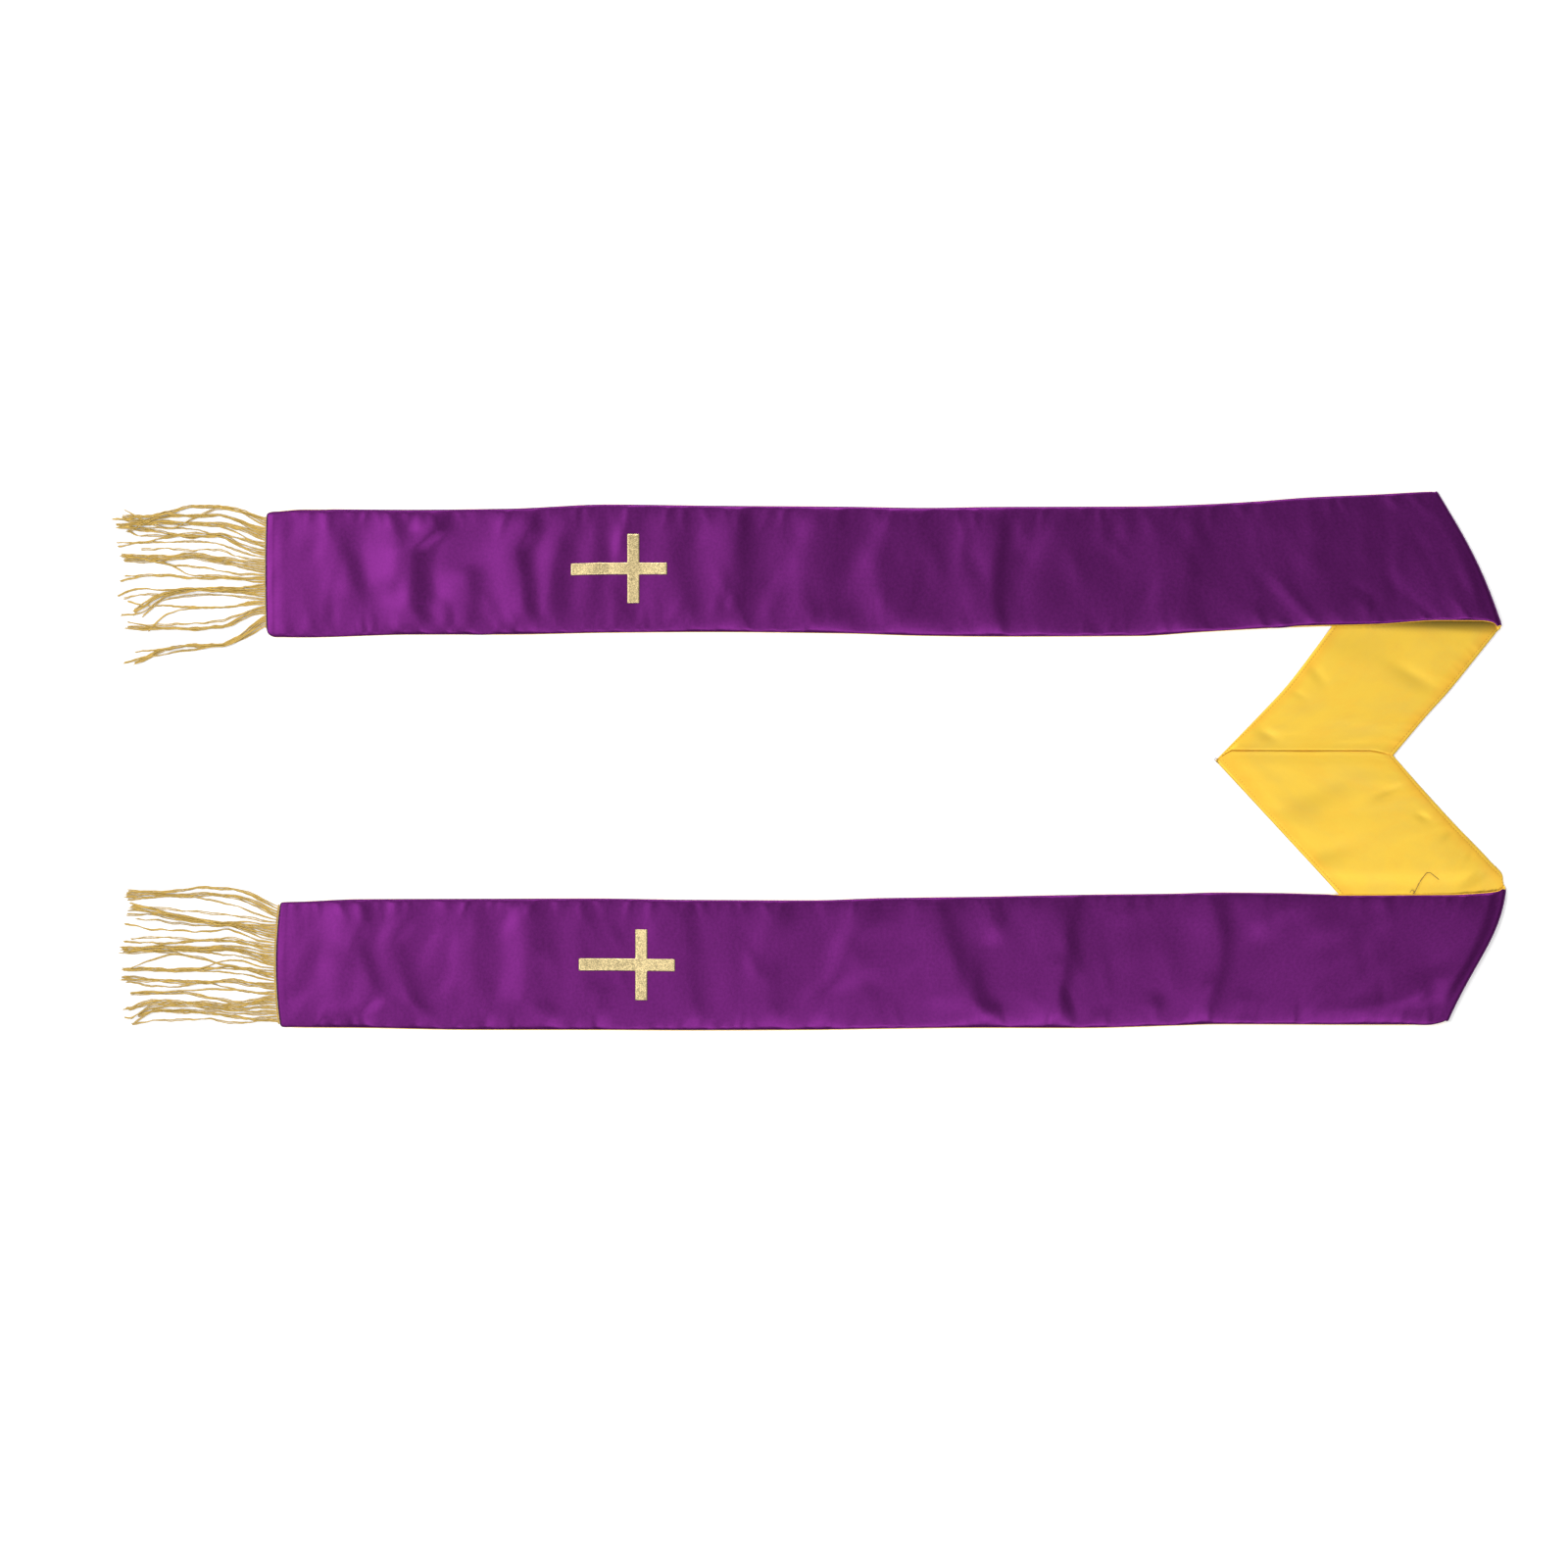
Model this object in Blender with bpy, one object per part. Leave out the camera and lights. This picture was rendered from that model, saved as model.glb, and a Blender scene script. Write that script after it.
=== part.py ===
"""A reversible clerical stole laid out flat on a table.

Two satin bands lie side by side with their fringed ends at -X. At +X each band is folded
over once, so that its neck half comes back beneath it with the reverse side up, and the
two neck halves meet in a mitred seam at the centre of the neck. Every band is two layers
of cloth, purple and yellow, sewn edge to edge.

Tables are in millimetres, +X towards the folds, +Y across the bands, +Z up from the table.
A band's outer edge is the one away from the other band, and its inner edge faces it.
"""

import math
from collections import namedtuple

import bmesh
import bpy
import numpy as np

MM = 0.001

# Cloth layers, measured from the middle surface between them
WALL = 1.0
SEAM_GAP = 0.3
INNER_FACE = SEAM_GAP / 2
OUTER_FACE = INNER_FACE + WALL
STACK = 2 * OUTER_FACE
REST_LIFT = STACK + SEAM_GAP

# Fullness of the layer that faces up: a low crown, and a ridge over the neck seam
CROWN = 0.8
CROWN_POWER = 6
HEM_FADE = 16.0
FOLD_FADE = 40.0
SEAM_RIDGE = 1.3
SEAM_RIDGE_WIDTH = 6.0

# Latin cross on each band, its long foot towards the hem
BAND_WIDTH = 117.0
CROSS_SPAN = 63.0
CROSS_BAR = 10.8
CROSS_FOOT = 51.4
CROSS_HEAD = 25.3
CROSS_FOIL = 0.6

# Spacing of the sections along a band, on its rippled layer, flat layer and fold
RIPPLE_STEP = 14.0
FLAT_STEP = 62.0
FOLD_STEP = 10.8
FOLD_REACH = 225.0
SHEAR_START = 60.0
SHEAR_END = 400.0
EDGE_BLEND = 22.0
TURN_STEPS = 8
NECK_STEPS = 18
NECK_FLAT_STEPS = 6
NECK_LENGTH = 235.0

# How the folded band comes down from its fold, and off the neck half below it
FOLD_RELAX = 60.0
BRIDGE_START = 22.0
BRIDGE_END = 62.0
NECK_CLEAR = 6.0
NECK_RISE = 16.0
BLEND_PART = 0.25

# Fringe: a narrow heading strip along the hem, and three-sided strands fused to it
STRIP_WIDTH = 3.0
STRIP_BOTTOM = 0.3
STRIP_HEIGHT = 1.3
STRIP_INSET = 2.0
STRAND_WIDTH = 1.4
STRAND_HEIGHT = 1.25
STRAND_CLEAR = 0.25
STRAND_FLOOR = 0.2
STACK_STEP = 1.65
STRAND_STEP = 20.0
SHORTEST_STEP = 4.0
GATHER_POWER = 1.3
TIP_UNEVEN = 6.0
TIP_BEAT = 2.4

# Fractions across a band where its sections have points: its edges and the cross's sides
ACROSS = np.array(
    [
        0.0,
        (1 - CROSS_SPAN / BAND_WIDTH) / 2,
        (1 - CROSS_BAR / BAND_WIDTH) / 2,
        (1 + CROSS_BAR / BAND_WIDTH) / 2,
        (1 + CROSS_SPAN / BAND_WIDTH) / 2,
        1.0,
    ]
)
CROSS_COLUMNS = (1, 2, 3)
BAR_COLUMN = 2

# A band's two edges at a distance along it
Edge = namedtuple("Edge", "x outer_y inner_y")
# The fold's tight outer corner and open inner one, the radius of its turn at each, its bow, and how
# far the open edge slides along the fold while it turns
Fold = namedtuple("Fold", "tight open tight_radius open_radius bow bow_skew slide")
# A fold at the points across: its chord, bow, radius and slide, and the directions out and along
FoldLine = namedtuple("FoldLine", "chord bow radius slide outward along")
# The neck half's two edges at a part of the way from the fold to the seam
Neck = namedtuple("Neck", "part outer_x outer_y inner_x inner_y")
# A ridge across the cloth: where its crest is at either edge, its bend, widths and height
Ripple = namedtuple("Ripple", "outer_at inner_at bend rise fall height")
# Neighbouring strands of the fringe, from +Y to -Y, that come together at their tips
Wisp = namedtuple("Wisp", "strands tip_y spread reach bow layers")
# One side of the stole: side is 1 at +Y and -1 at -Y
Half = namedtuple("Half", "name side hem_bow cross_x edges fold neck band_ripples neck_ripples wisps")

# The mitred seam between the neck halves, from its outer point to its inner corner
SEAM_LINE = np.array([(369.7, 0.8), (383.1, 9.8), (511.7, 9.3), (531.8, 5.4)])

UPPER = Half(
    name="upper",
    side=1,
    hem_bow=1.0,
    cross_x=-217.2,
    edges=(
        Edge(-494.5, 226.5, 120.5),
        Edge(-485.5, 228.0, 113.0),
        Edge(-460.0, 229.9, 112.7),
        Edge(-362.0, 229.4, 115.3),
        Edge(-273.0, 230.4, 115.4),
        Edge(-184.0, 234.2, 117.0),
        Edge(-90.0, 233.1, 117.6),
        Edge(30.0, 232.2, 116.4),
        Edge(105.0, 231.1, 114.2),
        Edge(172.0, 232.0, 113.5),
        Edge(298.0, 232.4, 114.0),
        Edge(355.0, 234.1, 117.5),
        Edge(405.0, 236.8, 120.4),
        Edge(454.0, 240.5, 122.7),
        Edge(517.0, 243.2, 124.2),
        Edge(572.0, 246.0, 127.5),
        Edge(630.0, 247.5, 127.0),
    ),
    fold=Fold((571.2, 244.9), (629.2, 123.6), 1.6, 3.5, 4.0, 1.2, 3.0),
    neck=(
        Neck(0.25, 522.0, 183.0, 606.0, 93.0),
        Neck(0.50, 474.2, 120.9, 583.0, 64.6),
        Neck(0.70, 434.9, 69.1, 561.0, 40.2),
        Neck(0.80, 413.9, 46.4, 551.4, 28.8),
    ),
    band_ripples=(
        Ripple(-338.0, -356.0, -13.0, 14.0, 9.0, 1.6),
        Ripple(-300.0, -312.0, 4.0, 13.0, 9.0, 1.0),
        Ripple(-256.0, -259.0, -6.0, 21.0, 10.0, 1.5),
        Ripple(-222.0, -236.0, -3.0, 12.0, 10.0, 1.3),
        Ripple(-129.0, -124.0, 0.0, 20.0, 13.0, 0.8),
        Ripple(-65.0, -75.0, 0.0, 24.0, 12.0, 1.5),
        Ripple(9.0, 2.0, -4.0, 20.0, 25.0, 1.5),
        Ripple(77.0, 70.0, -8.0, 17.0, 34.0, 1.4),
        Ripple(172.0, 165.0, -3.0, 28.0, 10.0, 1.7),
        Ripple(228.0, 200.0, 6.0, 18.0, 34.0, 0.9),
        Ripple(346.0, 330.0, 2.0, 36.0, 12.0, 1.1),
        Ripple(455.0, 440.0, 0.0, 30.0, 36.0, 0.7),
    ),
    neck_ripples=(
        Ripple(150.0, 96.0, 0.0, 20.0, 16.0, 0.8),
        Ripple(190.0, 180.0, 6.0, 16.0, 14.0, 0.7),
    ),
    wisps=(
        Wisp(4, 223.5, 3.5, 137.0, 9.0, 2),
        Wisp(10, 215.5, 9.5, 137.5, 5.0, 2),
        Wisp(2, 197.0, 6.5, 127.0, -1.5, 1),
        Wisp(7, 185.0, 8.5, 129.0, -1.0, 2),
        Wisp(2, 166.5, 5.0, 128.0, 1.5, 1),
        Wisp(3, 150.5, 5.0, 129.0, 2.0, 1),
        Wisp(7, 129.0, 9.5, 124.0, 10.0, 2),
        Wisp(2, 106.0, 5.0, 107.0, 12.0, 1),
        Wisp(4, 120.0, 6.0, 126.0, -1.0, 2),
        Wisp(4, 93.0, 8.0, 122.0, -5.0, 2),
    ),
)

LOWER = Half(
    name="lower",
    side=-1,
    hem_bow=4.0,
    cross_x=-210.0,
    edges=(
        Edge(-482.0, -242.0, -128.6),
        Edge(-460.0, -242.6, -127.5),
        Edge(-412.0, -242.9, -125.4),
        Edge(-309.0, -244.7, -125.0),
        Edge(-197.0, -244.8, -124.7),
        Edge(-112.0, -245.2, -125.9),
        Edge(2.0, -244.8, -126.4),
        Edge(66.0, -243.8, -124.4),
        Edge(155.0, -242.9, -123.2),
        Edge(245.0, -243.1, -121.4),
        Edge(334.0, -240.8, -120.3),
        Edge(370.0, -239.7, -119.3),
        Edge(423.0, -239.8, -119.7),
        Edge(481.0, -240.0, -121.0),
        Edge(562.0, -239.9, -120.6),
        Edge(581.0, -237.5, -120.5),
        Edge(634.0, -236.0, -117.5),
    ),
    fold=Fold((580.9, -235.8), (633.2, -116.0), 1.6, 2.6, 6.0, 1.9, 3.0),
    neck=(
        Neck(0.06, 567.8, -221.3, 631.4, -104.8),
        Neck(0.19, 541.6, -190.2, 619.6, -90.2),
        Neck(0.48, 481.3, -120.2, 587.1, -56.3),
        Neck(0.75, 424.2, -58.0, 558.4, -24.9),
    ),
    band_ripples=(
        Ripple(-394.0, -407.0, -7.0, 20.0, 10.0, 1.5),
        Ripple(-350.0, -366.0, -14.0, 13.0, 10.0, 1.1),
        Ripple(-300.0, -309.0, 0.0, 21.0, 13.0, 0.9),
        Ripple(-254.0, -259.0, 0.0, 16.0, 20.0, 1.6),
        Ripple(-190.0, -204.0, 0.0, 14.0, 10.0, 0.9),
        Ripple(-108.0, -118.0, 0.0, 26.0, 11.0, 1.2),
        Ripple(-40.0, -30.0, 0.0, 20.0, 12.0, 1.3),
        Ripple(6.0, 53.0, 5.0, 16.0, 18.0, 1.3),
        Ripple(159.0, 112.0, -4.0, 20.0, 14.0, 1.5),
        Ripple(223.0, 234.0, -3.0, 30.0, 12.0, 1.6),
        Ripple(360.0, 369.0, 7.0, 15.0, 10.0, 1.2),
        Ripple(532.0, 596.0, 0.0, 22.0, 18.0, 1.0),
    ),
    neck_ripples=(
        Ripple(118.0, 44.0, 0.0, 16.0, 14.0, 0.9),
        Ripple(168.0, 120.0, 0.0, 22.0, 18.0, 0.8),
        Ripple(206.0, 196.0, 4.0, 15.0, 12.0, 0.6),
    ),
    wisps=(
        Wisp(5, -121.5, 8.0, 139.0, 9.0, 2),
        Wisp(9, -136.5, 14.0, 138.0, 4.0, 2),
        Wisp(3, -163.5, 6.0, 133.0, 1.5, 1),
        Wisp(6, -173.5, 8.5, 140.0, -1.0, 2),
        Wisp(3, -190.5, 6.0, 137.0, -2.0, 1),
        Wisp(5, -198.5, 7.0, 138.0, -1.0, 2),
        Wisp(15, -226.0, 24.0, 136.0, -2.0, 2),
    ),
)

COLOURS = {
    "purple_satin": ((0.165, 0.017, 0.190, 1.0), 0.38, 0.0),
    "yellow_satin": ((0.930, 0.600, 0.065, 1.0), 0.42, 0.0),
    "gold_foil": ((0.620, 0.480, 0.250, 1.0), 0.30, 0.85),
    "gold_fringe": ((0.580, 0.370, 0.100, 1.0), 0.50, 0.25),
}


def ease(amount):
    """Smooth step from 0 to 1, level at both ends."""
    amount = np.clip(amount, 0.0, 1.0)
    return amount * amount * (3 - 2 * amount)


def blend(low, high, amount):
    return low + (high - low) * ease(amount)


def through(stations, values, at):
    """A smooth line through the given points that never swings past them."""
    stations = np.asarray(stations, float)
    values = np.asarray(values, float)
    gaps = np.diff(stations)
    secants = np.diff(values) / gaps
    slopes = np.zeros_like(values)
    slopes[0] = secants[0]
    slopes[-1] = secants[-1]
    same_way = secants[:-1] * secants[1:] > 0
    product = 2 * secants[:-1] * secants[1:]
    total = np.where(same_way, secants[:-1] + secants[1:], 1.0)
    slopes[1:-1] = np.where(same_way, product / total, 0.0)
    at = np.clip(at, stations[0], stations[-1])
    span = np.clip(np.searchsorted(stations, at, side="right") - 1, 0, len(gaps) - 1)
    gap = gaps[span]
    u = (at - stations[span]) / gap
    start = (1 + 2 * u) * (1 - u) ** 2 * values[span] + u * (1 - u) ** 2 * gap * slopes[span]
    end = u * u * (3 - 2 * u) * values[span + 1] + u * u * (u - 1) * gap * slopes[span + 1]
    return start + end


def spaced(start, end, step):
    """Even stations from start to end, about a step apart, without the last one."""
    count = max(1, round((end - start) / step))
    return list(np.linspace(start, end, count + 1)[:-1])


def edge_y(half, column, x):
    xs = [row.x for row in half.edges]
    return through(xs, [getattr(row, column) for row in half.edges], x)


def fold_line(half):
    """The fold in plan at the points across."""
    tight = np.array(half.fold.tight)
    toward = np.array(half.fold.open) - tight
    along = toward / np.linalg.norm(toward)
    return FoldLine(
        chord=tight + ACROSS[:, None] * toward,
        bow=half.fold.bow * np.sin(math.pi * ACROSS**half.fold.bow_skew),
        radius=half.fold.tight_radius + ACROSS * (half.fold.open_radius - half.fold.tight_radius),
        slide=half.fold.slide * ACROSS,
        outward=np.array([-along[1], along[0]]) * half.side,
        along=along,
    )


def turn_start(half):
    """Where the flat band ends and its turn round the fold begins."""
    fold = fold_line(half)
    return fold.chord - fold.radius[:, None] * fold.outward


def band_plan(half, outer_stations):
    """Plan points of the band's sections: a row per station along the outer edge."""
    start = turn_start(half)
    fold = fold_line(half)
    away = start[0, 0] - np.asarray(outer_stations)
    fold_skew = start[-1, 0] - start[0, 0]
    skew = blend(fold_skew, 0.0, (away - SHEAR_START) / (SHEAR_END - SHEAR_START))
    ends = []
    for column, x, place in (
        ("outer_y", start[0, 0] - away, start[0]),
        ("inner_y", start[0, 0] - away + skew, start[-1]),
    ):
        y = edge_y(half, column, x)
        missing = place[1] - edge_y(half, column, place[0])
        ends.append(np.stack([x, y + missing * (1 - ease(away / EDGE_BLEND))], axis=-1))
    plan = ends[0][:, None] + ACROSS[None, :, None] * (ends[1] - ends[0])[:, None]
    bowed = fold.bow[None, :, None] * np.exp(-((away / FOLD_RELAX) ** 2))[:, None, None]
    from_hem = np.asarray(outer_stations) - half.edges[0].x
    hem = half.hem_bow * (1 - (2 * ACROSS - 1) ** 2)[None, :] * (1 - ease(from_hem / HEM_FADE))[:, None]
    plan = plan + bowed * fold.outward
    plan[..., 0] -= hem
    return plan, away


def ripple_height(rows, along, crown):
    """Soft ridges across the cloth, each with its own slope before and after its crest."""
    height = np.full(along.shape, CROWN)
    for row in rows:
        crest = row.outer_at + (row.inner_at - row.outer_at) * ACROSS
        crest = crest + row.bend * np.sin(math.pi * ACROSS)
        past = along - crest
        width = np.where(past < 0, row.rise, row.fall)
        height = height + row.height * np.exp(-((past / width) ** 2))
    return height * crown


def crown_across():
    return 1 - (2 * ACROSS - 1) ** CROWN_POWER


def band_lift(half, plan):
    """How far the band is held up: over its neck half, and near the rounded fold."""
    fold = fold_line(half)
    tight, opened = fold.chord[0], fold.chord[-1]
    from_tight = plan - tight
    inward = np.maximum(-(from_tight @ fold.outward), 0.0)
    part = np.clip(from_tight @ fold.along / np.linalg.norm(opened - tight), 0.0, 1.0)
    here = half.fold.tight_radius + part * (half.fold.open_radius - half.fold.tight_radius)
    halfway = min(half.neck, key=lambda row: abs(row.part - 0.5))
    under = np.array([halfway.outer_x, halfway.outer_y]) - tight
    under = under / np.linalg.norm(under)
    beside = np.array([under[1] * half.side, -under[0] * half.side])
    outside = from_tight @ beside
    bridge = 1 - ease((outside - BRIDGE_START) / (BRIDGE_END - BRIDGE_START))
    opening = (2 * here - REST_LIFT) * (1 - ease(inward / FOLD_RELAX))
    return REST_LIFT * bridge + opening


def band_sections(half, outer_stations):
    """Middle surface, its normals and the top layer's swell, for the band on top."""
    plan, away = band_plan(half, outer_stations)
    height = OUTER_FACE + band_lift(half, plan)
    middle = np.concatenate([plan, height[..., None]], axis=-1)
    normal = np.zeros_like(middle)
    normal[..., 2] = 1.0
    from_hem = np.asarray(outer_stations) - half.edges[0].x
    swell = ripple_height(half.band_ripples, plan[..., 0], crown_across())
    swell = swell * (ease(from_hem / HEM_FADE) * ease(away / FOLD_FADE))[:, None]
    return middle, normal, swell


def turn_sections(half):
    """The half turn round the fold, from the band on top to the neck half beneath."""
    fold = fold_line(half)
    middle, normal = [], []
    for step in range(TURN_STEPS):
        angle = math.pi * step / TURN_STEPS
        swing = fold.bow - fold.radius * (1 - math.sin(angle))
        slid = fold.slide * ease(angle / math.pi)
        plan = fold.chord + swing[:, None] * fold.outward + slid[:, None] * fold.along
        height = OUTER_FACE + fold.radius * (1 + math.cos(angle))
        middle.append(np.concatenate([plan, height[:, None]], axis=-1))
        direction = np.append(fold.outward * math.sin(angle), math.cos(angle))
        normal.append(np.tile(direction, (len(ACROSS), 1)))
    return np.array(middle), np.array(normal), np.zeros((TURN_STEPS, len(ACROSS)))


def neck_sections(half, parts):
    """The neck half on the table, from the fold (part 0) to the mitred seam (part 1)."""
    parts = np.asarray(parts)
    fold = fold_line(half)
    start = turn_start(half) + fold.slide[:, None] * fold.along
    gap = half.side * SEAM_GAP / 2
    rows = [Neck(0.0, *start[0], *start[-1]), *half.neck]
    rows.append(Neck(1.0, *(SEAM_LINE[0] + (0, gap)), *(SEAM_LINE[-1] + (0, gap))))
    at = [row.part for row in rows]
    outer = [through(at, [getattr(row, name) for row in rows], parts) for name in ("outer_x", "outer_y")]
    inner = [through(at, [getattr(row, name) for row in rows], parts) for name in ("inner_x", "inner_y")]
    outer = np.stack(outer, axis=-1)
    inner = np.stack(inner, axis=-1)
    plan = outer[:, None] + ACROSS[None, :, None] * (inner - outer)[:, None]
    plan = plan + fold.bow[None, :, None] * fold.outward * (1 - ease(parts / BLEND_PART))[:, None, None]
    seam_x = SEAM_LINE[0, 0] + ACROSS * (SEAM_LINE[-1, 0] - SEAM_LINE[0, 0])
    chord = SEAM_LINE[0, 1] + ACROSS * (SEAM_LINE[-1, 1] - SEAM_LINE[0, 1])
    bulge = np.interp(seam_x, SEAM_LINE[:, 0], SEAM_LINE[:, 1]) - chord
    plan[..., 1] += ease(1 - (1 - parts) / BLEND_PART)[:, None] * bulge
    middle = np.concatenate([plan, np.full(plan.shape[:2] + (1,), OUTER_FACE)], axis=-1)
    normal = np.zeros_like(middle)
    normal[..., 2] = -1.0
    lengths = np.linalg.norm(np.diff([(row[1:3], row[3:5]) for row in rows], axis=0), axis=-1).sum(axis=0)
    to_seam = (1 - parts)[:, None] * (lengths[0] + ACROSS * (lengths[1] - lengths[0]))
    swell = ripple_height(half.neck_ripples, (parts * NECK_LENGTH)[:, None] + 0 * to_seam, crown_across())
    swell = swell * ease(to_seam / HEM_FADE)
    swell = swell + SEAM_RIDGE * np.exp(-((to_seam / SEAM_RIDGE_WIDTH) ** 2)) * crown_across()
    beyond = half.side * (edge_y(half, "inner_y", plan[..., 0]) - plan[..., 1])
    return middle, normal, swell * ease((beyond - NECK_CLEAR) / NECK_RISE)


def cross_stations(half):
    """Where the foot, the crossbar's two sides and the head of the cross are along the band."""
    return half.cross_x + np.cumsum([0.0, CROSS_FOOT, CROSS_BAR, CROSS_HEAD])


def rippled_stations(half):
    """Stations of the purple layer, with some on the edges of the cross."""
    hem = half.edges[0].x
    foot, bar_start, bar_end, head = cross_stations(half)
    turn = turn_start(half)[0, 0]
    stations = [hem] + spaced(half.edges[1].x, foot, RIPPLE_STEP)
    stations += spaced(foot, bar_start, RIPPLE_STEP) + [bar_start] + spaced(bar_end, head, RIPPLE_STEP)
    stations += spaced(head, turn - FOLD_REACH, RIPPLE_STEP)
    return stations + spaced(turn - FOLD_REACH, turn, FOLD_STEP)


def flat_stations(half):
    """Stations of the yellow layer, which lies flat on the table beneath the purple one."""
    hem = half.edges[0].x
    turn = turn_start(half)[0, 0]
    stations = [hem] + spaced(half.edges[1].x, turn - FOLD_REACH, FLAT_STEP)
    return stations + spaced(turn - FOLD_REACH, turn, FOLD_STEP)


def neck_parts():
    """Parts of the neck half with sections, closer together at the ridge of the seam."""
    ridge = [1 - 2 * SEAM_RIDGE_WIDTH / NECK_LENGTH, 1 - SEAM_RIDGE_WIDTH / NECK_LENGTH, 1.0]
    return spaced(0.0, ridge[0], 1 / NECK_STEPS) + ridge


def joined(*groups):
    return [np.concatenate(arrays) for arrays in zip(*groups)]


def every_cell(grid):
    return {(i, j) for i in range(grid.shape[0] - 1) for j in range(grid.shape[1] - 1)}


def plate(name, lower, upper, cells, material):
    """A closed plate over the given cells of a grid of points, with walls along its rim."""
    mesh = bmesh.new()
    vertices = {}

    def vertex(side, i, j):
        if (side, i, j) not in vertices:
            grid = upper if side else lower
            vertices[side, i, j] = mesh.verts.new(grid[i, j] * MM)
        return vertices[side, i, j]

    for i, j in sorted(cells):
        a, b, c, d = (i, j), (i + 1, j), (i + 1, j + 1), (i, j + 1)
        for side in (0, 1):
            for corners in ((a, b, c), (a, c, d)):
                mesh.faces.new([vertex(side, *corner) for corner in corners])
        neighbours = (((i, j - 1), a, b), ((i + 1, j), b, c), ((i, j + 1), c, d), ((i - 1, j), d, a))
        for beside, first, last in neighbours:
            if beside not in cells:
                rim = [vertex(0, *first), vertex(0, *last), vertex(1, *last), vertex(1, *first)]
                mesh.faces.new(rim)
    return finished(name, mesh, material)


def finished(name, mesh, material):
    """Turn a mesh's faces outward and put it in the scene under its own name."""
    bmesh.ops.recalc_face_normals(mesh, faces=mesh.faces)
    data = bpy.data.meshes.new(name)
    mesh.to_mesh(data)
    mesh.free()
    data.shade_smooth()
    data.set_sharp_from_angle(angle=math.radians(40))
    data.materials.append(material)
    piece = bpy.data.objects.new(name, data)
    bpy.context.collection.objects.link(piece)
    return piece


def layer(middle, normal, swell, near, far):
    """The two faces of a cloth layer, at these distances from the middle surface."""
    raised = middle.copy()
    raised[..., 2] += swell
    return raised + near * normal, raised + far * normal


def purple_panel(half, material):
    band = band_sections(half, rippled_stations(half))
    turn = turn_sections(half)
    neck_middle, neck_normal, neck_swell = neck_sections(half, np.linspace(0, 1, NECK_FLAT_STEPS + 1))
    middle, normal, swell = joined(band, turn, (neck_middle, neck_normal, 0 * neck_swell))
    lower, upper = layer(middle, normal, swell, INNER_FACE, OUTER_FACE)
    return plate(f"purple_panel_{half.name}", lower, upper, every_cell(upper), material)


def yellow_panel(half, material):
    band_middle, band_normal, band_swell = band_sections(half, flat_stations(half))
    turn = turn_sections(half)
    neck = neck_sections(half, neck_parts())
    middle, normal, swell = joined((band_middle, band_normal, 0 * band_swell), turn, neck)
    lower, upper = layer(middle, normal, swell, -INNER_FACE, -OUTER_FACE)
    return plate(f"yellow_panel_{half.name}", lower, upper, every_cell(upper), material)


def cross(half, material):
    """The cross, made from the purple layer's own points, moved out."""
    stations = rippled_stations(half)
    middle, normal, swell = band_sections(half, stations)
    face = OUTER_FACE + SEAM_GAP
    lower, upper = layer(middle, normal, swell, face, face + CROSS_FOIL)
    foot, bar_start, bar_end, head = np.searchsorted(stations, np.array(cross_stations(half)) - MM)
    cells = {(i, BAR_COLUMN) for i in range(foot, head)}
    cells |= {(i, j) for i in range(bar_start, bar_end) for j in CROSS_COLUMNS}
    return plate(f"cross_{half.name}", lower, upper, cells, material)


def hem_x(half, y):
    """The hem's bowed edge in plan."""
    first = half.edges[0]
    part = (y - first.outer_y) / (first.inner_y - first.outer_y)
    return first.x - half.hem_bow * (1 - (2 * part - 1) ** 2)


def strand_paths(half):
    """Root and free places of each strand on shared stations, as it lies on the others.

    A strand runs from its root on the heading strip to its tip in a wisp, bowed on the way.
    Where it would come too near one already laid, it lies on top of it.
    """
    first = half.edges[0]
    top = max(first.outer_y, first.inner_y) - STRIP_INSET
    bottom = min(first.outer_y, first.inner_y) + STRIP_INSET
    total = sum(wisp.strands for wisp in half.wisps)
    pitch = (top - bottom) / total
    reach = max(wisp.reach for wisp in half.wisps)
    away = np.arange(0.0, reach + STRAND_STEP, STRAND_STEP)
    strands = []
    for wisp in half.wisps:
        for k in range(wisp.strands):
            root = top - pitch * (len(strands) + 0.5)
            share = (k + 0.5) / wisp.strands - 0.5
            tip = wisp.tip_y - wisp.spread * share
            own_reach = wisp.reach - TIP_UNEVEN * abs(math.sin(TIP_BEAT * len(strands)))
            part = away / own_reach
            bowed = wisp.bow * np.sin(math.pi * np.minimum(part, 1.0))
            y = root + (tip - root) * part**GATHER_POWER + bowed
            strands.append({"root": root, "reach": own_reach, "y": y, "order": k % wisp.layers})
    laid = []
    near = STRAND_WIDTH + STRAND_CLEAR
    for strand in sorted(strands, key=lambda s: s["order"]):
        z = np.full(len(away), STRAND_FLOOR)
        z[0] = STRIP_BOTTOM
        for other in laid:
            apart = strand["y"] - other["y"]
            crossed = apart[:-1] * apart[1:] < 0
            close = np.abs(apart) < near
            close[:-1] |= crossed
            close[1:] |= crossed
            close[0] = False
            z = np.where(close, np.maximum(z, other["z"] + STACK_STEP), z)
        strand["z"] = z
        laid.append(strand)
    return strands, away, pitch


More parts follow.
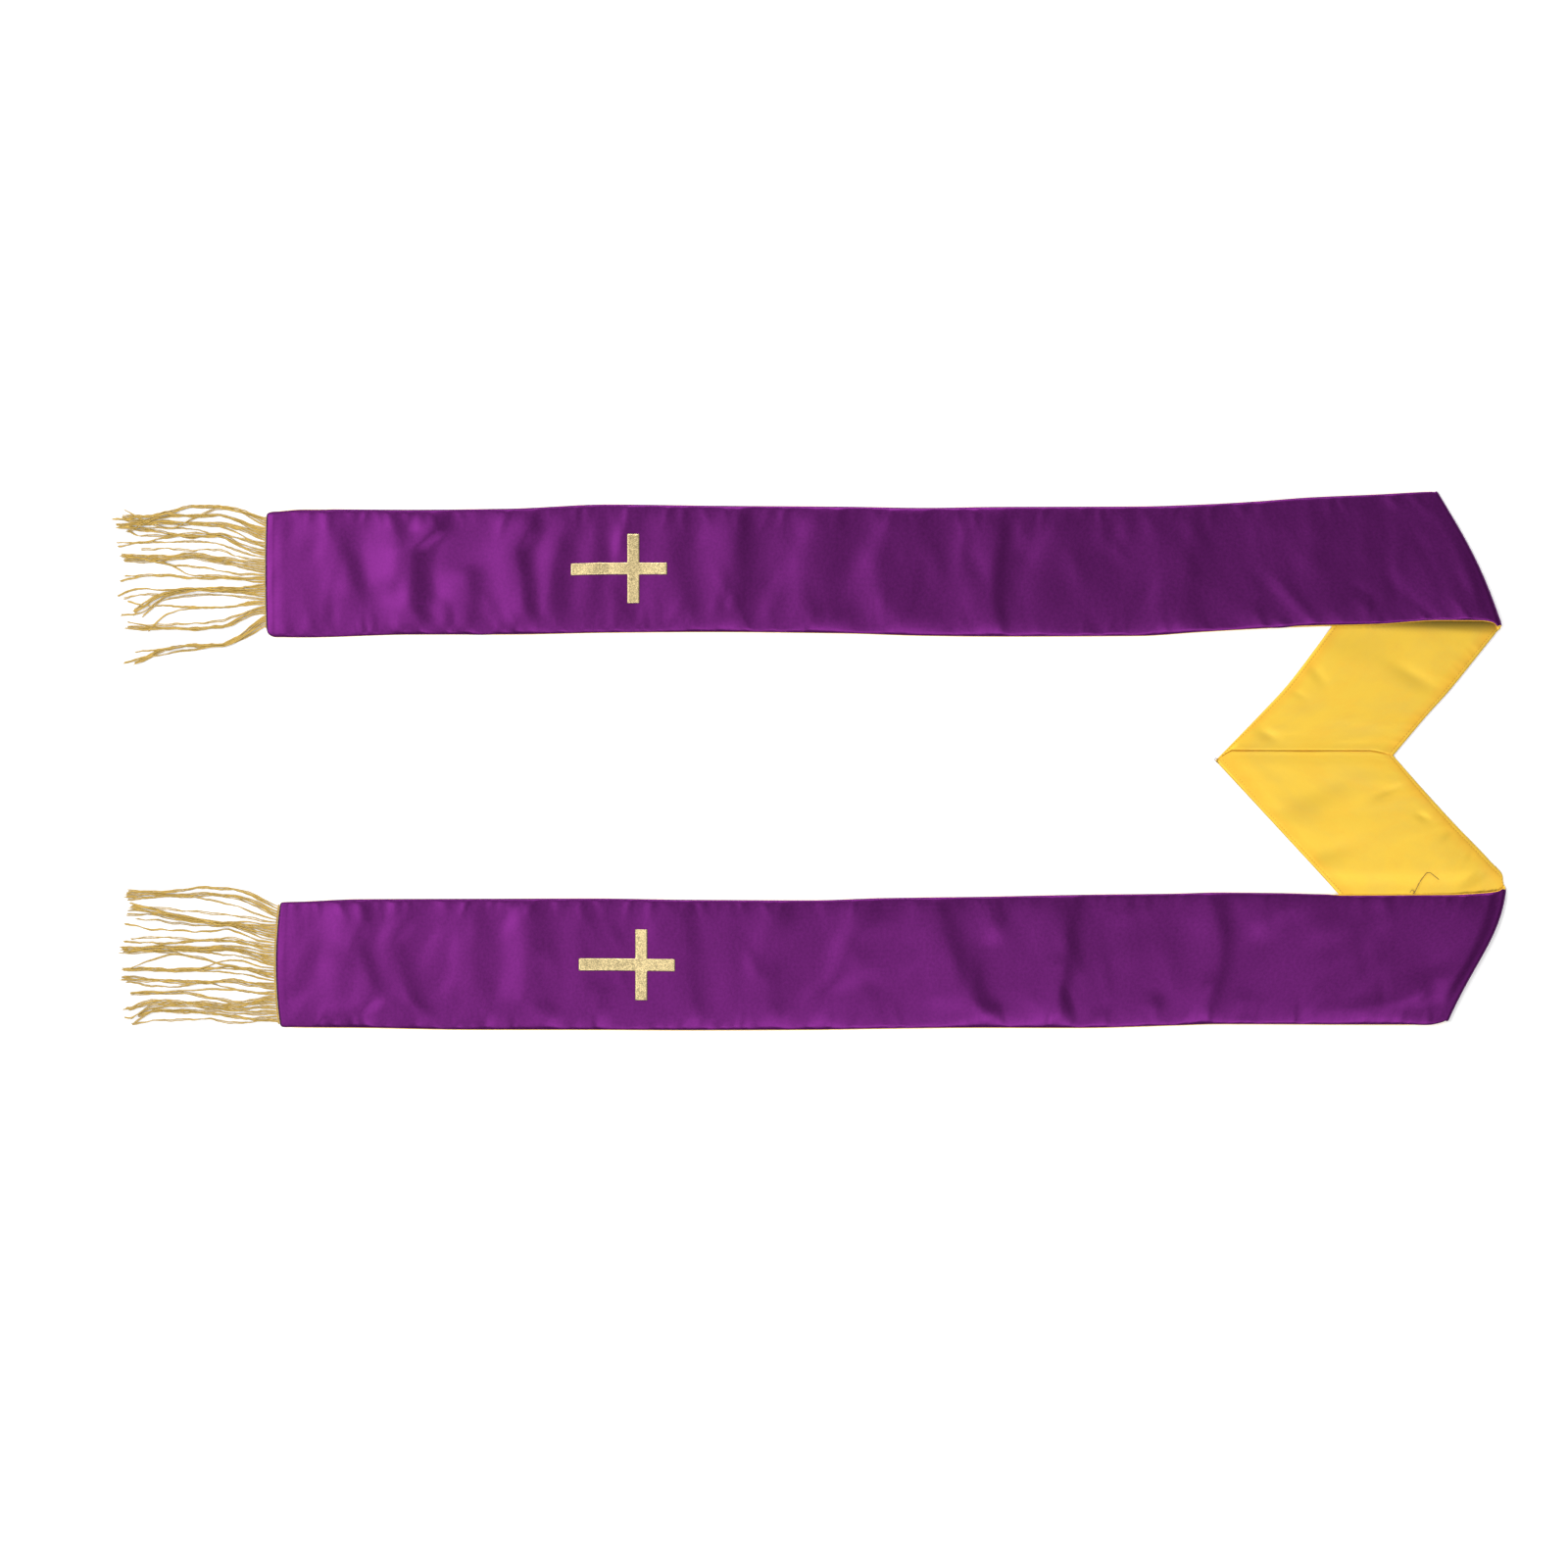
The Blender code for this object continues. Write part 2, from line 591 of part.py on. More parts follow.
def fringe(half, material):
    """The heading strip along the hem, with each strand grown out of its outer face."""
    strands, away, pitch = strand_paths(half)
    mesh = bmesh.new()
    bottom, top = STRIP_BOTTOM, STRIP_BOTTOM + STRIP_HEIGHT

    def vertex(x, y, z):
        return mesh.verts.new((x * MM, y * MM, z * MM))

    bounds = [strand["root"] + pitch / 2 for strand in strands]
    bounds.append(strands[-1]["root"] - pitch / 2)
    inner = [[vertex(hem_x(half, y) - SEAM_GAP, y, z) for z in (bottom, top)] for y in bounds]
    outer = [[vertex(hem_x(half, y) - SEAM_GAP - STRIP_WIDTH, y, z) for z in (bottom, top)] for y in bounds]
    for i, strand in enumerate(strands):
        root = strand["root"]
        face = hem_x(half, root) - SEAM_GAP - STRIP_WIDTH
        ring = [
            vertex(face, root + STRAND_WIDTH / 2, bottom),
            vertex(face, root - STRAND_WIDTH / 2, bottom),
            vertex(face, root, top),
        ]
        mesh.faces.new([outer[i][0], ring[0], ring[2], outer[i][1]])
        mesh.faces.new([ring[1], outer[i + 1][0], outer[i + 1][1], ring[2]])
        mesh.faces.new([outer[i][0], inner[i][0], inner[i + 1][0], outer[i + 1][0], ring[1], ring[0]])
        mesh.faces.new([outer[i][1], ring[2], outer[i + 1][1], inner[i + 1][1], inner[i][1]])
        mesh.faces.new([inner[i][0], inner[i][1], inner[i + 1][1], inner[i + 1][0]])
        between = away[(away > 0) & (away < strand["reach"] - SHORTEST_STEP)]
        for distance in [*between, strand["reach"]]:
            y = np.interp(distance, away, strand["y"])
            z = np.interp(distance, away, strand["z"])
            x = face - distance
            following = [
                vertex(x, y + STRAND_WIDTH / 2, z),
                vertex(x, y - STRAND_WIDTH / 2, z),
                vertex(x, y, z + STRAND_HEIGHT),
            ]
            for k in range(3):
                n = (k + 1) % 3
                mesh.faces.new([ring[k], ring[n], following[n], following[k]])
            ring = following
        mesh.faces.new(ring)
    for i in (0, len(strands)):
        mesh.faces.new([outer[i][0], outer[i][1], inner[i][1], inner[i][0]])
    return finished(f"fringe_{half.name}", mesh, material)


def finish(name):
    colour, roughness, metallic = COLOURS[name]
    material = bpy.data.materials.new(name)
    material.use_nodes = True
    material.diffuse_color = colour
    shader = material.node_tree.nodes["Principled BSDF"]
    shader.inputs["Base Color"].default_value = colour
    shader.inputs["Roughness"].default_value = roughness
    shader.inputs["Metallic"].default_value = metallic
    return material


def main():
    for item in list(bpy.data.objects):
        bpy.data.objects.remove(item)
    materials = {name: finish(name) for name in COLOURS}
    for half in (UPPER, LOWER):
        purple_panel(half, materials["purple_satin"])
        yellow_panel(half, materials["yellow_satin"])
        cross(half, materials["gold_foil"])
        fringe(half, materials["gold_fringe"])


main()
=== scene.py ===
"""The looks of a reversible clerical stole, laid flat with its neck folded beneath it.

Two satin bands lie side by side, their fringed hems at -X. At +X each is folded over once, and its
neck half comes back beneath it with the yellow side up, to a mitred seam at the centre of the neck.
Shapes are worked out in millimetres, +X towards the folds, +Y across the bands and +Z up from the
table. A band's outer edge is the one away from the other band, and its inner edge faces it.
"""

import math
from collections import namedtuple

import bpy
import numpy as np
from bpy.props import FloatProperty, FloatVectorProperty, IntProperty, PointerProperty
from bpy.types import Operator, Panel, PropertyGroup
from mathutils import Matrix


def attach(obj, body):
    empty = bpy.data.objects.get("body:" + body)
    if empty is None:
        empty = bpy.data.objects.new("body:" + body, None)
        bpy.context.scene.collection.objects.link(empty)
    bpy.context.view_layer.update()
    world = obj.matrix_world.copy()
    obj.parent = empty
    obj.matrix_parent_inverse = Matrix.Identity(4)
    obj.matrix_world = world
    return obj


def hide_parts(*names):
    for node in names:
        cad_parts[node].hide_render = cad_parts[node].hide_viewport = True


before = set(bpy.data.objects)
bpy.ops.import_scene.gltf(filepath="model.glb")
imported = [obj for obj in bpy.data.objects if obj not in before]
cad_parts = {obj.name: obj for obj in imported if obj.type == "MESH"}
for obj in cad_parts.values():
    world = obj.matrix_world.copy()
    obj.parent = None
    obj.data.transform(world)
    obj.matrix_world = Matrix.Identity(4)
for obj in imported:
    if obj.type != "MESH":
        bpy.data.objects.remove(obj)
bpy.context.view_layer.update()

bl_info = {
    "name": "Clerical stole",
    "version": (1, 0, 0),
    "blender": (4, 5, 0),
    "location": "3D View > Sidebar > Stole",
    "description": "Satin bands, foil crosses, fringes and stitching of a reversible stole",
    "category": "Object",
}

BODY = "root"
MM = 0.001

# Cloth layers, from the middle surface between them
WALL = 1.0
SEAM_GAP = 0.3
OUTER_FACE = SEAM_GAP / 2 + WALL
REST_LIFT = 2 * OUTER_FACE + SEAM_GAP

# Fullness of the layer that faces up
BAND_WIDTH = 117.0
NECK_LENGTH = 235.0
CROWN = 0.8
CROWN_POWER = 6
HEM_FADE = 16.0
CROWN_FADE = 45.0
CREASE_FADE = 14.0
EDGE_BLEND = 15.0
SHEAR_START = 60.0
SHEAR_END = 400.0

# How the folded band comes down from its fold, and off the neck half below it
FOLD_RELAX = 60.0
OPEN_RELAX = 105.0
BRIDGE_START = 12.0
BRIDGE_END = 140.0
NECK_CLEAR = 6.0
NECK_RISE = 16.0
BLEND_PART = 0.25

# How much softer than its own widths a crease is, and where across the band it begins and ends
CREASE_SOFT = 1.3
CREASE_BEGIN = 0.15
CREASE_END = 0.2

# Puckers along the sewn edges: ranges of their reach inwards, width, lean, height and spacing
CLOTH_LENGTH = 1420.0
PUCKER_REACH = (14.0, 36.0)
PUCKER_WIDTH = (2.2, 5.5)
PUCKER_LEAN = (-0.45, 0.45)
PUCKER_SHARE = (0.35, 1.5)
PUCKER_SPACING = (0.45, 1.7)

# Bells of uneven fullness strewn over each half's satin: how many, and ranges of their sizes
FULLNESS_COUNT = 300
FULLNESS_WIDTH = (5.0, 13.0)
FULLNESS_LENGTH = (9.0, 30.0)
FULLNESS_LEAN = (-0.5, 0.5)
NECK_FULLNESS = 0.4
NECK_PUCKER = 0.4

# How strongly the neck's dents are shaded
DENT_SHADE = 0.14

# How far the yellow layer beneath a band follows its creases
UNDER_SHARE = 0.4

# Points across a band: distances in from either edge, and the spacing between them
EDGE_ROLL = 2.0
EDGE_POINTS = (0.0, 0.1, 0.35, 0.8, 1.4, 2.0, 2.6, 3.2, 3.8, 4.6, 5.8, 7.4)
HEM_POINTS = (0.0, 0.1, 0.35, 0.8, 1.3, 2.0, 3.0, 4.0, 5.0, 6.0, 7.0, 8.0)
MIDDLE_COLUMNS = 40
BAND_STEP = 2.5
TURN_STEPS = 14
NECK_STEP = 2.5
SEAM_POINTS = (7.0, 5.5, 4.2, 3.2, 2.4, 1.7, 1.1, 0.6, 0.2, 0.0)

# The hem's turned allowance, and the sewing along the edges
HEM_TURN = 6.0
HEM_RISE = 0.1
EDGE_STITCH = 3.2
HEM_STITCH = 1.3
STITCHED_BENEATH = 2.0
EDGE_GROOVE = 0.15
GROOVE_WIDTH = 0.9
SEAM_CLEAR = 0.04
SEAM_LIP_WIDTH = 1.3
SEAM_DROP = 0.2
SEAM_ROLL = 0.8

# How far each kind of relief takes to reach its full height: the small puckers from the turn and the
# hem, what lies under a band in parts of the neck half, the neck seam's lip from the edges, the hem's
# step, the peeking edge along the band, from the turn and inwards, and what fades at the very hem
SMALL_TURN_FADE = 12.0
SMALL_HEM_FADE = 6.0
UNDER_FADE = 0.1
LIP_FADE = 14.0
HEM_STEP = 1.6
PEEK_FADE = 15.0
PEEK_TURN = 8.0
PEEK_REACH = 4.0
HEM_END = 3.0

# The yellow edge that is rolled up past the purple one
WRAP = 0.8
WRAP_BACK = 1.8
WRAP_LIFT = 0.45
WRAP_FULL = 0.6

# Latin cross on each band, its long foot towards the hem
CROSS_SPAN = 63.0
CROSS_BAR = 10.8
CROSS_FOOT = 51.4
CROSS_HEAD = 25.3
CROSS_CELL = 1.2
FOIL_LIFT = 0.3

# Fringe
STRIP_INSET = 2.0
HEADING_CORD = 0.8
HEADING_TWIST = 1.2
HEADING_LOBES = 0.2
ROOT_BLEND = 44.0
ROOT_FULL = 32.0
WAVE_BLEND = 20.0
ROOT_HEIGHT = 1.15
ROOT_DROP = 6.0
TIP_UNEVEN = 5.0
STRAND_NEAR = 1.05
STRAND_FLOOR = 0.6
STACK_RISE = 0.85
STACK_MOST = 3.4
ROUTE_STEP = 2.0
RING_STEP = 1.1
STRAND_SIDES = 6
THREAD_SIDES = 6
HEADING_POINTS = 140
HEADING_INSET = 1.0
HEADING_WAVE = 0.1
HEADING_WAVE_STEP = 1.9

# Waves of a strand: height, and the range of its length; then the range of their strength, and the
# range of a random phase, in radians
WAVES = ((0.16, 7.0, 12.0), (0.34, 17.0, 30.0), (0.5, 40.0, 80.0))
WAVE_SHARE = (0.4, 1.3)
ANY_PHASE = (0, 6.3)

# The two yarns of a strand, in shares of its thickness: how far either is from the strand's line, how
# far above or below it, its radius, and the height of its own twist; then the ranges of their spread,
# their unevenness, and the turns of a yarn's own twist to one turn round each other
PLY_APART = 0.28
PLY_HEIGHT = 0.24
PLY_RADIUS = 0.31
PLY_LOBES = 0.08
PLY_SPREAD = (0.0, 0.3)
PLY_UNEVEN = (0.85, 1.15)
PLY_TURNS = (18.0, 44.0)
ROOT_APART = 0.05
ROOT_RADIUS = 0.03

# A stitch: its share of its pitch, how far it is sunk, and at places along it, its height and its
# thickness as a share of the thread's
STITCH_SHARE = 0.55
STITCH_SUNK = 0.05
STITCH_AT = np.array([0.0, 0.12, 0.35, 0.65, 0.88, 1.0])
STITCH_ARCH = np.array([-0.25, 0.0, 0.14, 0.14, 0.0, -0.25])
STITCH_TAPER = np.array([0.25, 0.8, 1.0, 1.0, 0.8, 0.25])

# Distances from the hem at which the route and the width of a lock of strands are given
ROUTE_AT = (0.0, 22.0, 45.0, 67.0, 90.0, 112.0, 135.0)
WIDTH_AT = (0.0, 60.0, 135.0)

# Where the crest of a crease is measured across a band, from its edge at +Y
CREST_AT = (0.0, 0.15, 0.35, 0.55, 0.75, 0.9, 1.0)

# A band's two edges at a distance along it
Edge = namedtuple("Edge", "x outer_y inner_y")
# The fold's tight outer corner and open inner one, the radius of its turn at each, its bow, and how
# far the open edge slides along the fold while it turns
Fold = namedtuple("Fold", "tight open tight_radius open_radius bow bow_skew slide")
# A fold at fractions across: its chord, bow, radius and slide, and the directions out and along
FoldLine = namedtuple("FoldLine", "chord bow radius slide outward along")
# The ridge inside a fold: its distance from the fold's edge and its height at the tight and the
# open corner, and the width of its slope away from the fold
Ridge = namedtuple("Ridge", "tight_at open_at tight_height open_height rise")
# The neck half's two edges at a part of the way from the fold to the seam
Neck = namedtuple("Neck", "part outer_x outer_y inner_x inner_y")
# A crease across the band: its crest at five places from the edge at +Y, the widths of its slopes,
# its height, and the fractions of the band's width between which it stands, all of it if not given
Crease = namedtuple("Crease", "crest rise fall height begin end", defaults=(0.0, 1.0))
# A soft ridge or hollow anywhere: its centre in plan, its direction in degrees, half length,
# half width, and height
Dent = namedtuple("Dent", "x y turn length width height")
# Strands of the fringe on one route: how many, where they are across at ROUTE_AT, how far they reach
# from the hem, the layer they lie in, and the width of the lock at WIDTH_AT
Lock = namedtuple("Lock", "strands route reach layer widths", defaults=((0.0, 0.0, 0.0),))
# How far the yellow edge shows past the purple one between two places along the band
Peek = namedtuple("Peek", "start end amount")
# The lip along a half's side of the neck seam
Lip = namedtuple("Lip", "height fade")
# The shaded hollow beneath the open end of a fold: where along the band it starts and is deepest,
# and how far it reaches out from under the band
Hollow = namedtuple("Hollow", "start end reach")
Half = namedtuple(
    "Half",
    "name side hem_bow cross_x edges fold neck creases ridge neck_dents under_dents inner_peek outer_peek"
    " lip hollow cords locks",
)
# Arrays over a half's grid of points: the middle surface, its normals, how far each row is along
# the cloth, the distances to the hem, to the turn, in from the fold's edge and to the seam, the
# distances in from either edge, and the part of the way along the neck half
Strip = namedtuple("Strip", "middle normal run hem away inward seam outer_in inner_in part")

FAR = 1000.0

# Loose brown threads, by the places they pass through: one with its tangle by the lower fold, and
# the knotted ends at the outer point of the neck seam
LOOSE_THREADS = (
    ((551.7, -117.6, 4.2), (554.2, -112.6, 3.9), (556.5, -108.3, 3.8), (559.2, -104.8, 3.8),
     (562.3, -101.4, 3.8), (564.7, -101.4, 3.8), (568.8, -104.2, 3.8), (572.9, -107.6, 3.8)),
    ((546.5, -119.4, 4.6), (548.6, -117.2, 4.6), (551.0, -119.2, 4.8), (549.4, -120.4, 4.8),
     (551.9, -117.4, 4.5)),
    ((370.6, 3.6, 2.4), (368.9, 1.6, 2.2), (371.0, 0.2, 2.2), (372.2, 2.2, 2.5), (370.2, 2.4, 2.7)),
    ((373.2, -1.2, 2.3), (370.8, -0.6, 2.3), (372.0, 1.4, 2.6)),
)

# The mitred seam between the neck halves, from its outer point to its inner corner
SEAM_LINE = np.array([(369.7, 0.8), (383.1, 9.8), (511.7, 9.3), (531.8, 5.4)])

# Table, lights and camera: the table's size, the picture's centre and the places in metres, and how
# far below the stole the table's face is, in millimetres
TABLE_SIZE = 6.0
TABLE_CLEAR = 0.4
PICTURE_CENTRE = (-0.0232, -0.0205)
Lamp = namedtuple("Lamp", "name place size")
LAMPS = (
    Lamp("key", (-3.0, 0.7, 3.1), (2.0, 1.3)),
    Lamp("side", (0.15, 2.7, 1.5), (1.2, 0.6)),
    Lamp("front", (0.42, -1.8, 3.6), (1.2, 1.0)),
    Lamp("overhead", (-2.0, 0.5, 4.2), (1.2, 1.0)),
)

UPPER = Half(
    name="upper",
    side=1,
    hem_bow=1.0,
    cross_x=-217.2,
    edges=(
        Edge(-494.5, 224.5, 120.5),
        Edge(-493.8, 225.9, 117.6),
        Edge(-491.6, 227.0, 115.0),
        Edge(-488.6, 227.7, 113.6),
        Edge(-485.5, 228.0, 113.0),
        Edge(-460.0, 229.9, 112.7),
        Edge(-362.0, 229.4, 115.3),
        Edge(-273.0, 230.4, 115.4),
        Edge(-184.0, 234.2, 117.0),
        Edge(-90.0, 233.1, 117.6),
        Edge(30.0, 232.2, 116.4),
        Edge(105.0, 231.1, 114.2),
        Edge(172.0, 232.0, 113.5),
        Edge(298.0, 232.4, 114.0),
        Edge(355.0, 234.1, 117.5),
        Edge(405.0, 236.8, 120.4),
        Edge(454.0, 240.5, 122.7),
        Edge(517.0, 243.2, 124.2),
        Edge(572.0, 246.0, 127.5),
        Edge(630.0, 247.5, 127.0),
    ),
    fold=Fold((570.4, 246.0), (629.2, 123.6), 1.6, 3.8, 4.6, 1.1, 3.0),
    neck=(
        Neck(0.25, 522.0, 183.0, 606.0, 93.0),
        Neck(0.50, 474.2, 120.9, 583.0, 64.6),
        Neck(0.70, 434.9, 69.1, 561.0, 40.2),
        Neck(0.80, 413.9, 46.4, 551.4, 28.8),
    ),
    creases=(
        Crease((-431, -425, -419, -413, -411), 14, 9, 0.6, 0.0, 0.8),
        Crease((-376, -379, -382, -386, -388), 13, 8, 0.6, 0.0, 0.7),
        Crease((-344, -363, -364, -364, -358), 15, 9, 1.6),
        Crease((-313,) * 5, 12, 9, 0.9, 0.4),
        Crease((-338, -338, -337, -336, -334), 8, 6, 0.7, 0.65),
        Crease((-257, -268, -264, -262, -259), 20, 8, 1.5),
        Crease((-224, -231, -236, -236, -235), 12, 10, 1.1),
        Crease((-195, -196, -198, -200, -202), 10, 8, 0.5),
        Crease((-166, -167, -168, -170, -171), 12, 9, 0.5),
        Crease((-130, -129, -124, -118, -113), 18, 12, 0.8),
        Crease((-66, -68, -70, -71, -74), 22, 10, 1.5),
        Crease((9, 4, 3, 0, 5), 18, 22, 1.5),
        Crease((75, 67, 63, 71, 80), 16, 30, 1.4),
        Crease((171, 167, 164, 166, 166), 26, 9, 1.7),
        Crease((193, 189, 186, 182, 180), 8, 7, 0.7, 0.0, 0.4),
        Crease((224, 221, 214, 207, 202), 16, 28, 0.8),
        Crease((267, 266, 264, 263, 261), 6, 5, 0.4, 0.0, 0.4),
        Crease((288, 288, 286, 284, 282), 6, 5, 0.4, 0.0, 0.35),
        Crease((345, 343, 340, 338, 334), 30, 12, 1.1),
        Crease((406,) * 5, 10, 7, 0.6, 0.75),
        Crease((455, 457, 461, 464, 468), 30, 30, 0.6),
        Crease((507,) * 5, 7, 4, 0.5, 0.72),
    ),
    ridge=Ridge(5.0, 20.0, 0.35, 0.7, 10.0),
    neck_dents=(
        Dent(498.0, 108.0, -8.0, 34.0, 12.0, -0.6),
        Dent(462.0, 79.0, -51.0, 11.0, 4.5, -0.7),
        Dent(445.0, 61.0, -25.0, 7.0, 2.5, -0.5),
        Dent(417.0, 24.0, -35.0, 12.0, 5.0, -0.8),
        Dent(550.0, 77.0, -30.0, 24.0, 7.0, -0.9),
    ),
    under_dents=(
        Dent(470.0, 100.0, 38.0, 40.0, 7.0, 0.8),
        Dent(520.0, 60.0, -20.0, 34.0, 9.0, 0.6),
        Dent(540.0, 120.0, 62.0, 44.0, 6.0, 0.9),
        Dent(455.0, 40.0, 12.0, 26.0, 8.0, 0.5),
    ),
    inner_peek=(Peek(-494.0, -300.0, 0.4), Peek(-300.0, 430.0, 0.5), Peek(430.0, 660.0, 1.1)),
    outer_peek=(Peek(-494.0, -430.0, 0.5),),
    lip=Lip(1.3, 7.5),
    hollow=Hollow(470.0, 575.0, 12.0),
    cords=1,
    locks=(
        Lock(3, (224.1, 231.3, 232.2, 231.8, 226.8, 223.3, 221.9), 137, 0, (5.0, 2.2, 3.2)),
        Lock(2, (221.5, 223.3, 224.1, 224.1, 222.8, 219.7, 220.6), 140, 1, (3.0, 1.8, 1.6)),
        Lock(1, (225.9, 229.9, 229.5, 220.6, 212.7, 219.7, 232.2), 131, 2),
        Lock(1, (220.6, 223.3, 224.1, 224.1, 224.6, 215.7, 206.3), 129, 2),
        Lock(4, (208.1, 213.9, 215.7, 216.6, 217.7, 216.6, 215.2), 137, 0, (8.0, 3.4, 3.2)),
        Lock(1, (206.3, 206.7, 207.2, 211.4, 212.5, 213.4, 212.5), 137, 1),
        Lock(1, (205.4, 206.3, 207.2, 208.1, 205.4, 205.4, 216.1), 128, 1),
        Lock(2, (200.0, 201.4, 205.9, 204.9, 208.1, 211.6, 214.3), 133, 0, (6.0, 2.0, 3.0)),
        Lock(1, (196.5, 200.0, 204.5, 205.4, 203.6, 200.0, 194.7), 135, 1),
        Lock(1, (192.9, 194.7, 198.2, 200.5, 200.0, 199.1, 199.6), 136, 0),
        Lock(1, (192.0, 190.6, 192.9, 191.8, 194.7, 192.9, 188.4), 119, 1),
        Lock(5, (181.3, 182.2, 184.0, 187.3, 185.3, 184.9, 185.8), 134, 0, (9.0, 5.5, 7.5)),
        Lock(1, (167.0, 167.9, 168.8, 170.4, 179.5, 184.9, 186.6), 132, 1),
        Lock(1, (173.2, 172.3, 174.7, 177.3, 180.4, 184.0, 186.6), 133, 2),
        Lock(1, (167.9, 167.4, 167.0, 167.9, 169.7, 169.7, 169.7), 134, 0),
        Lock(1, (167.0, 167.0, 166.6, 167.0, 168.8, 168.8, 163.4), 133, 1),
        Lock(1, (160.7, 158.0, 156.7, 157.2, 156.7, 157.2, 150.9), 135, 1),
        Lock(1, (158.0, 157.2, 156.3, 155.4, 151.8, 151.8, 146.9), 134, 2),
        Lock(1, (139.3, 139.7, 140.2, 140.2, 142.0, 142.4, 149.1), 129, 1),
        Lock(3, (157.2, 157.2, 156.9, 157.2, 153.1, 142.0, 125.9), 122, 0, (8.0, 2.6, 4.5)),
        Lock(1, (153.6, 152.7, 152.0, 150.9, 148.2, 132.2, 117.9), 117, 1),
        Lock(1, (130.4, 128.6, 127.7, 125.9, 124.1, 125.0, 129.5), 132, 2),
        Lock(1, (155.4, 155.4, 155.4, 154.5, 150.9, 135.7, 133.1), 133, 2),
        Lock(1, (139.3, 139.8, 140.6, 139.7, 134.0, 113.4, 102.0), 110, 1),
        Lock(3, (117.9, 121.0, 122.3, 120.6, 121.4, 121.4, 121.4), 130, 0, (3.6, 2.0, 2.8)),
        Lock(3, (115.2, 107.2, 106.0, 105.4, 102.7, 92.9, 83.0), 121, 0, (3.0, 2.4, 3.6)),
        Lock(1, (114.3, 107.2, 104.5, 101.5, 98.7, 94.2, 88.0), 131, 1),
        Lock(1, (115.2, 107.6, 106.3, 105.4, 102.7, 100.9, 94.6), 124, 1),
    ),
)

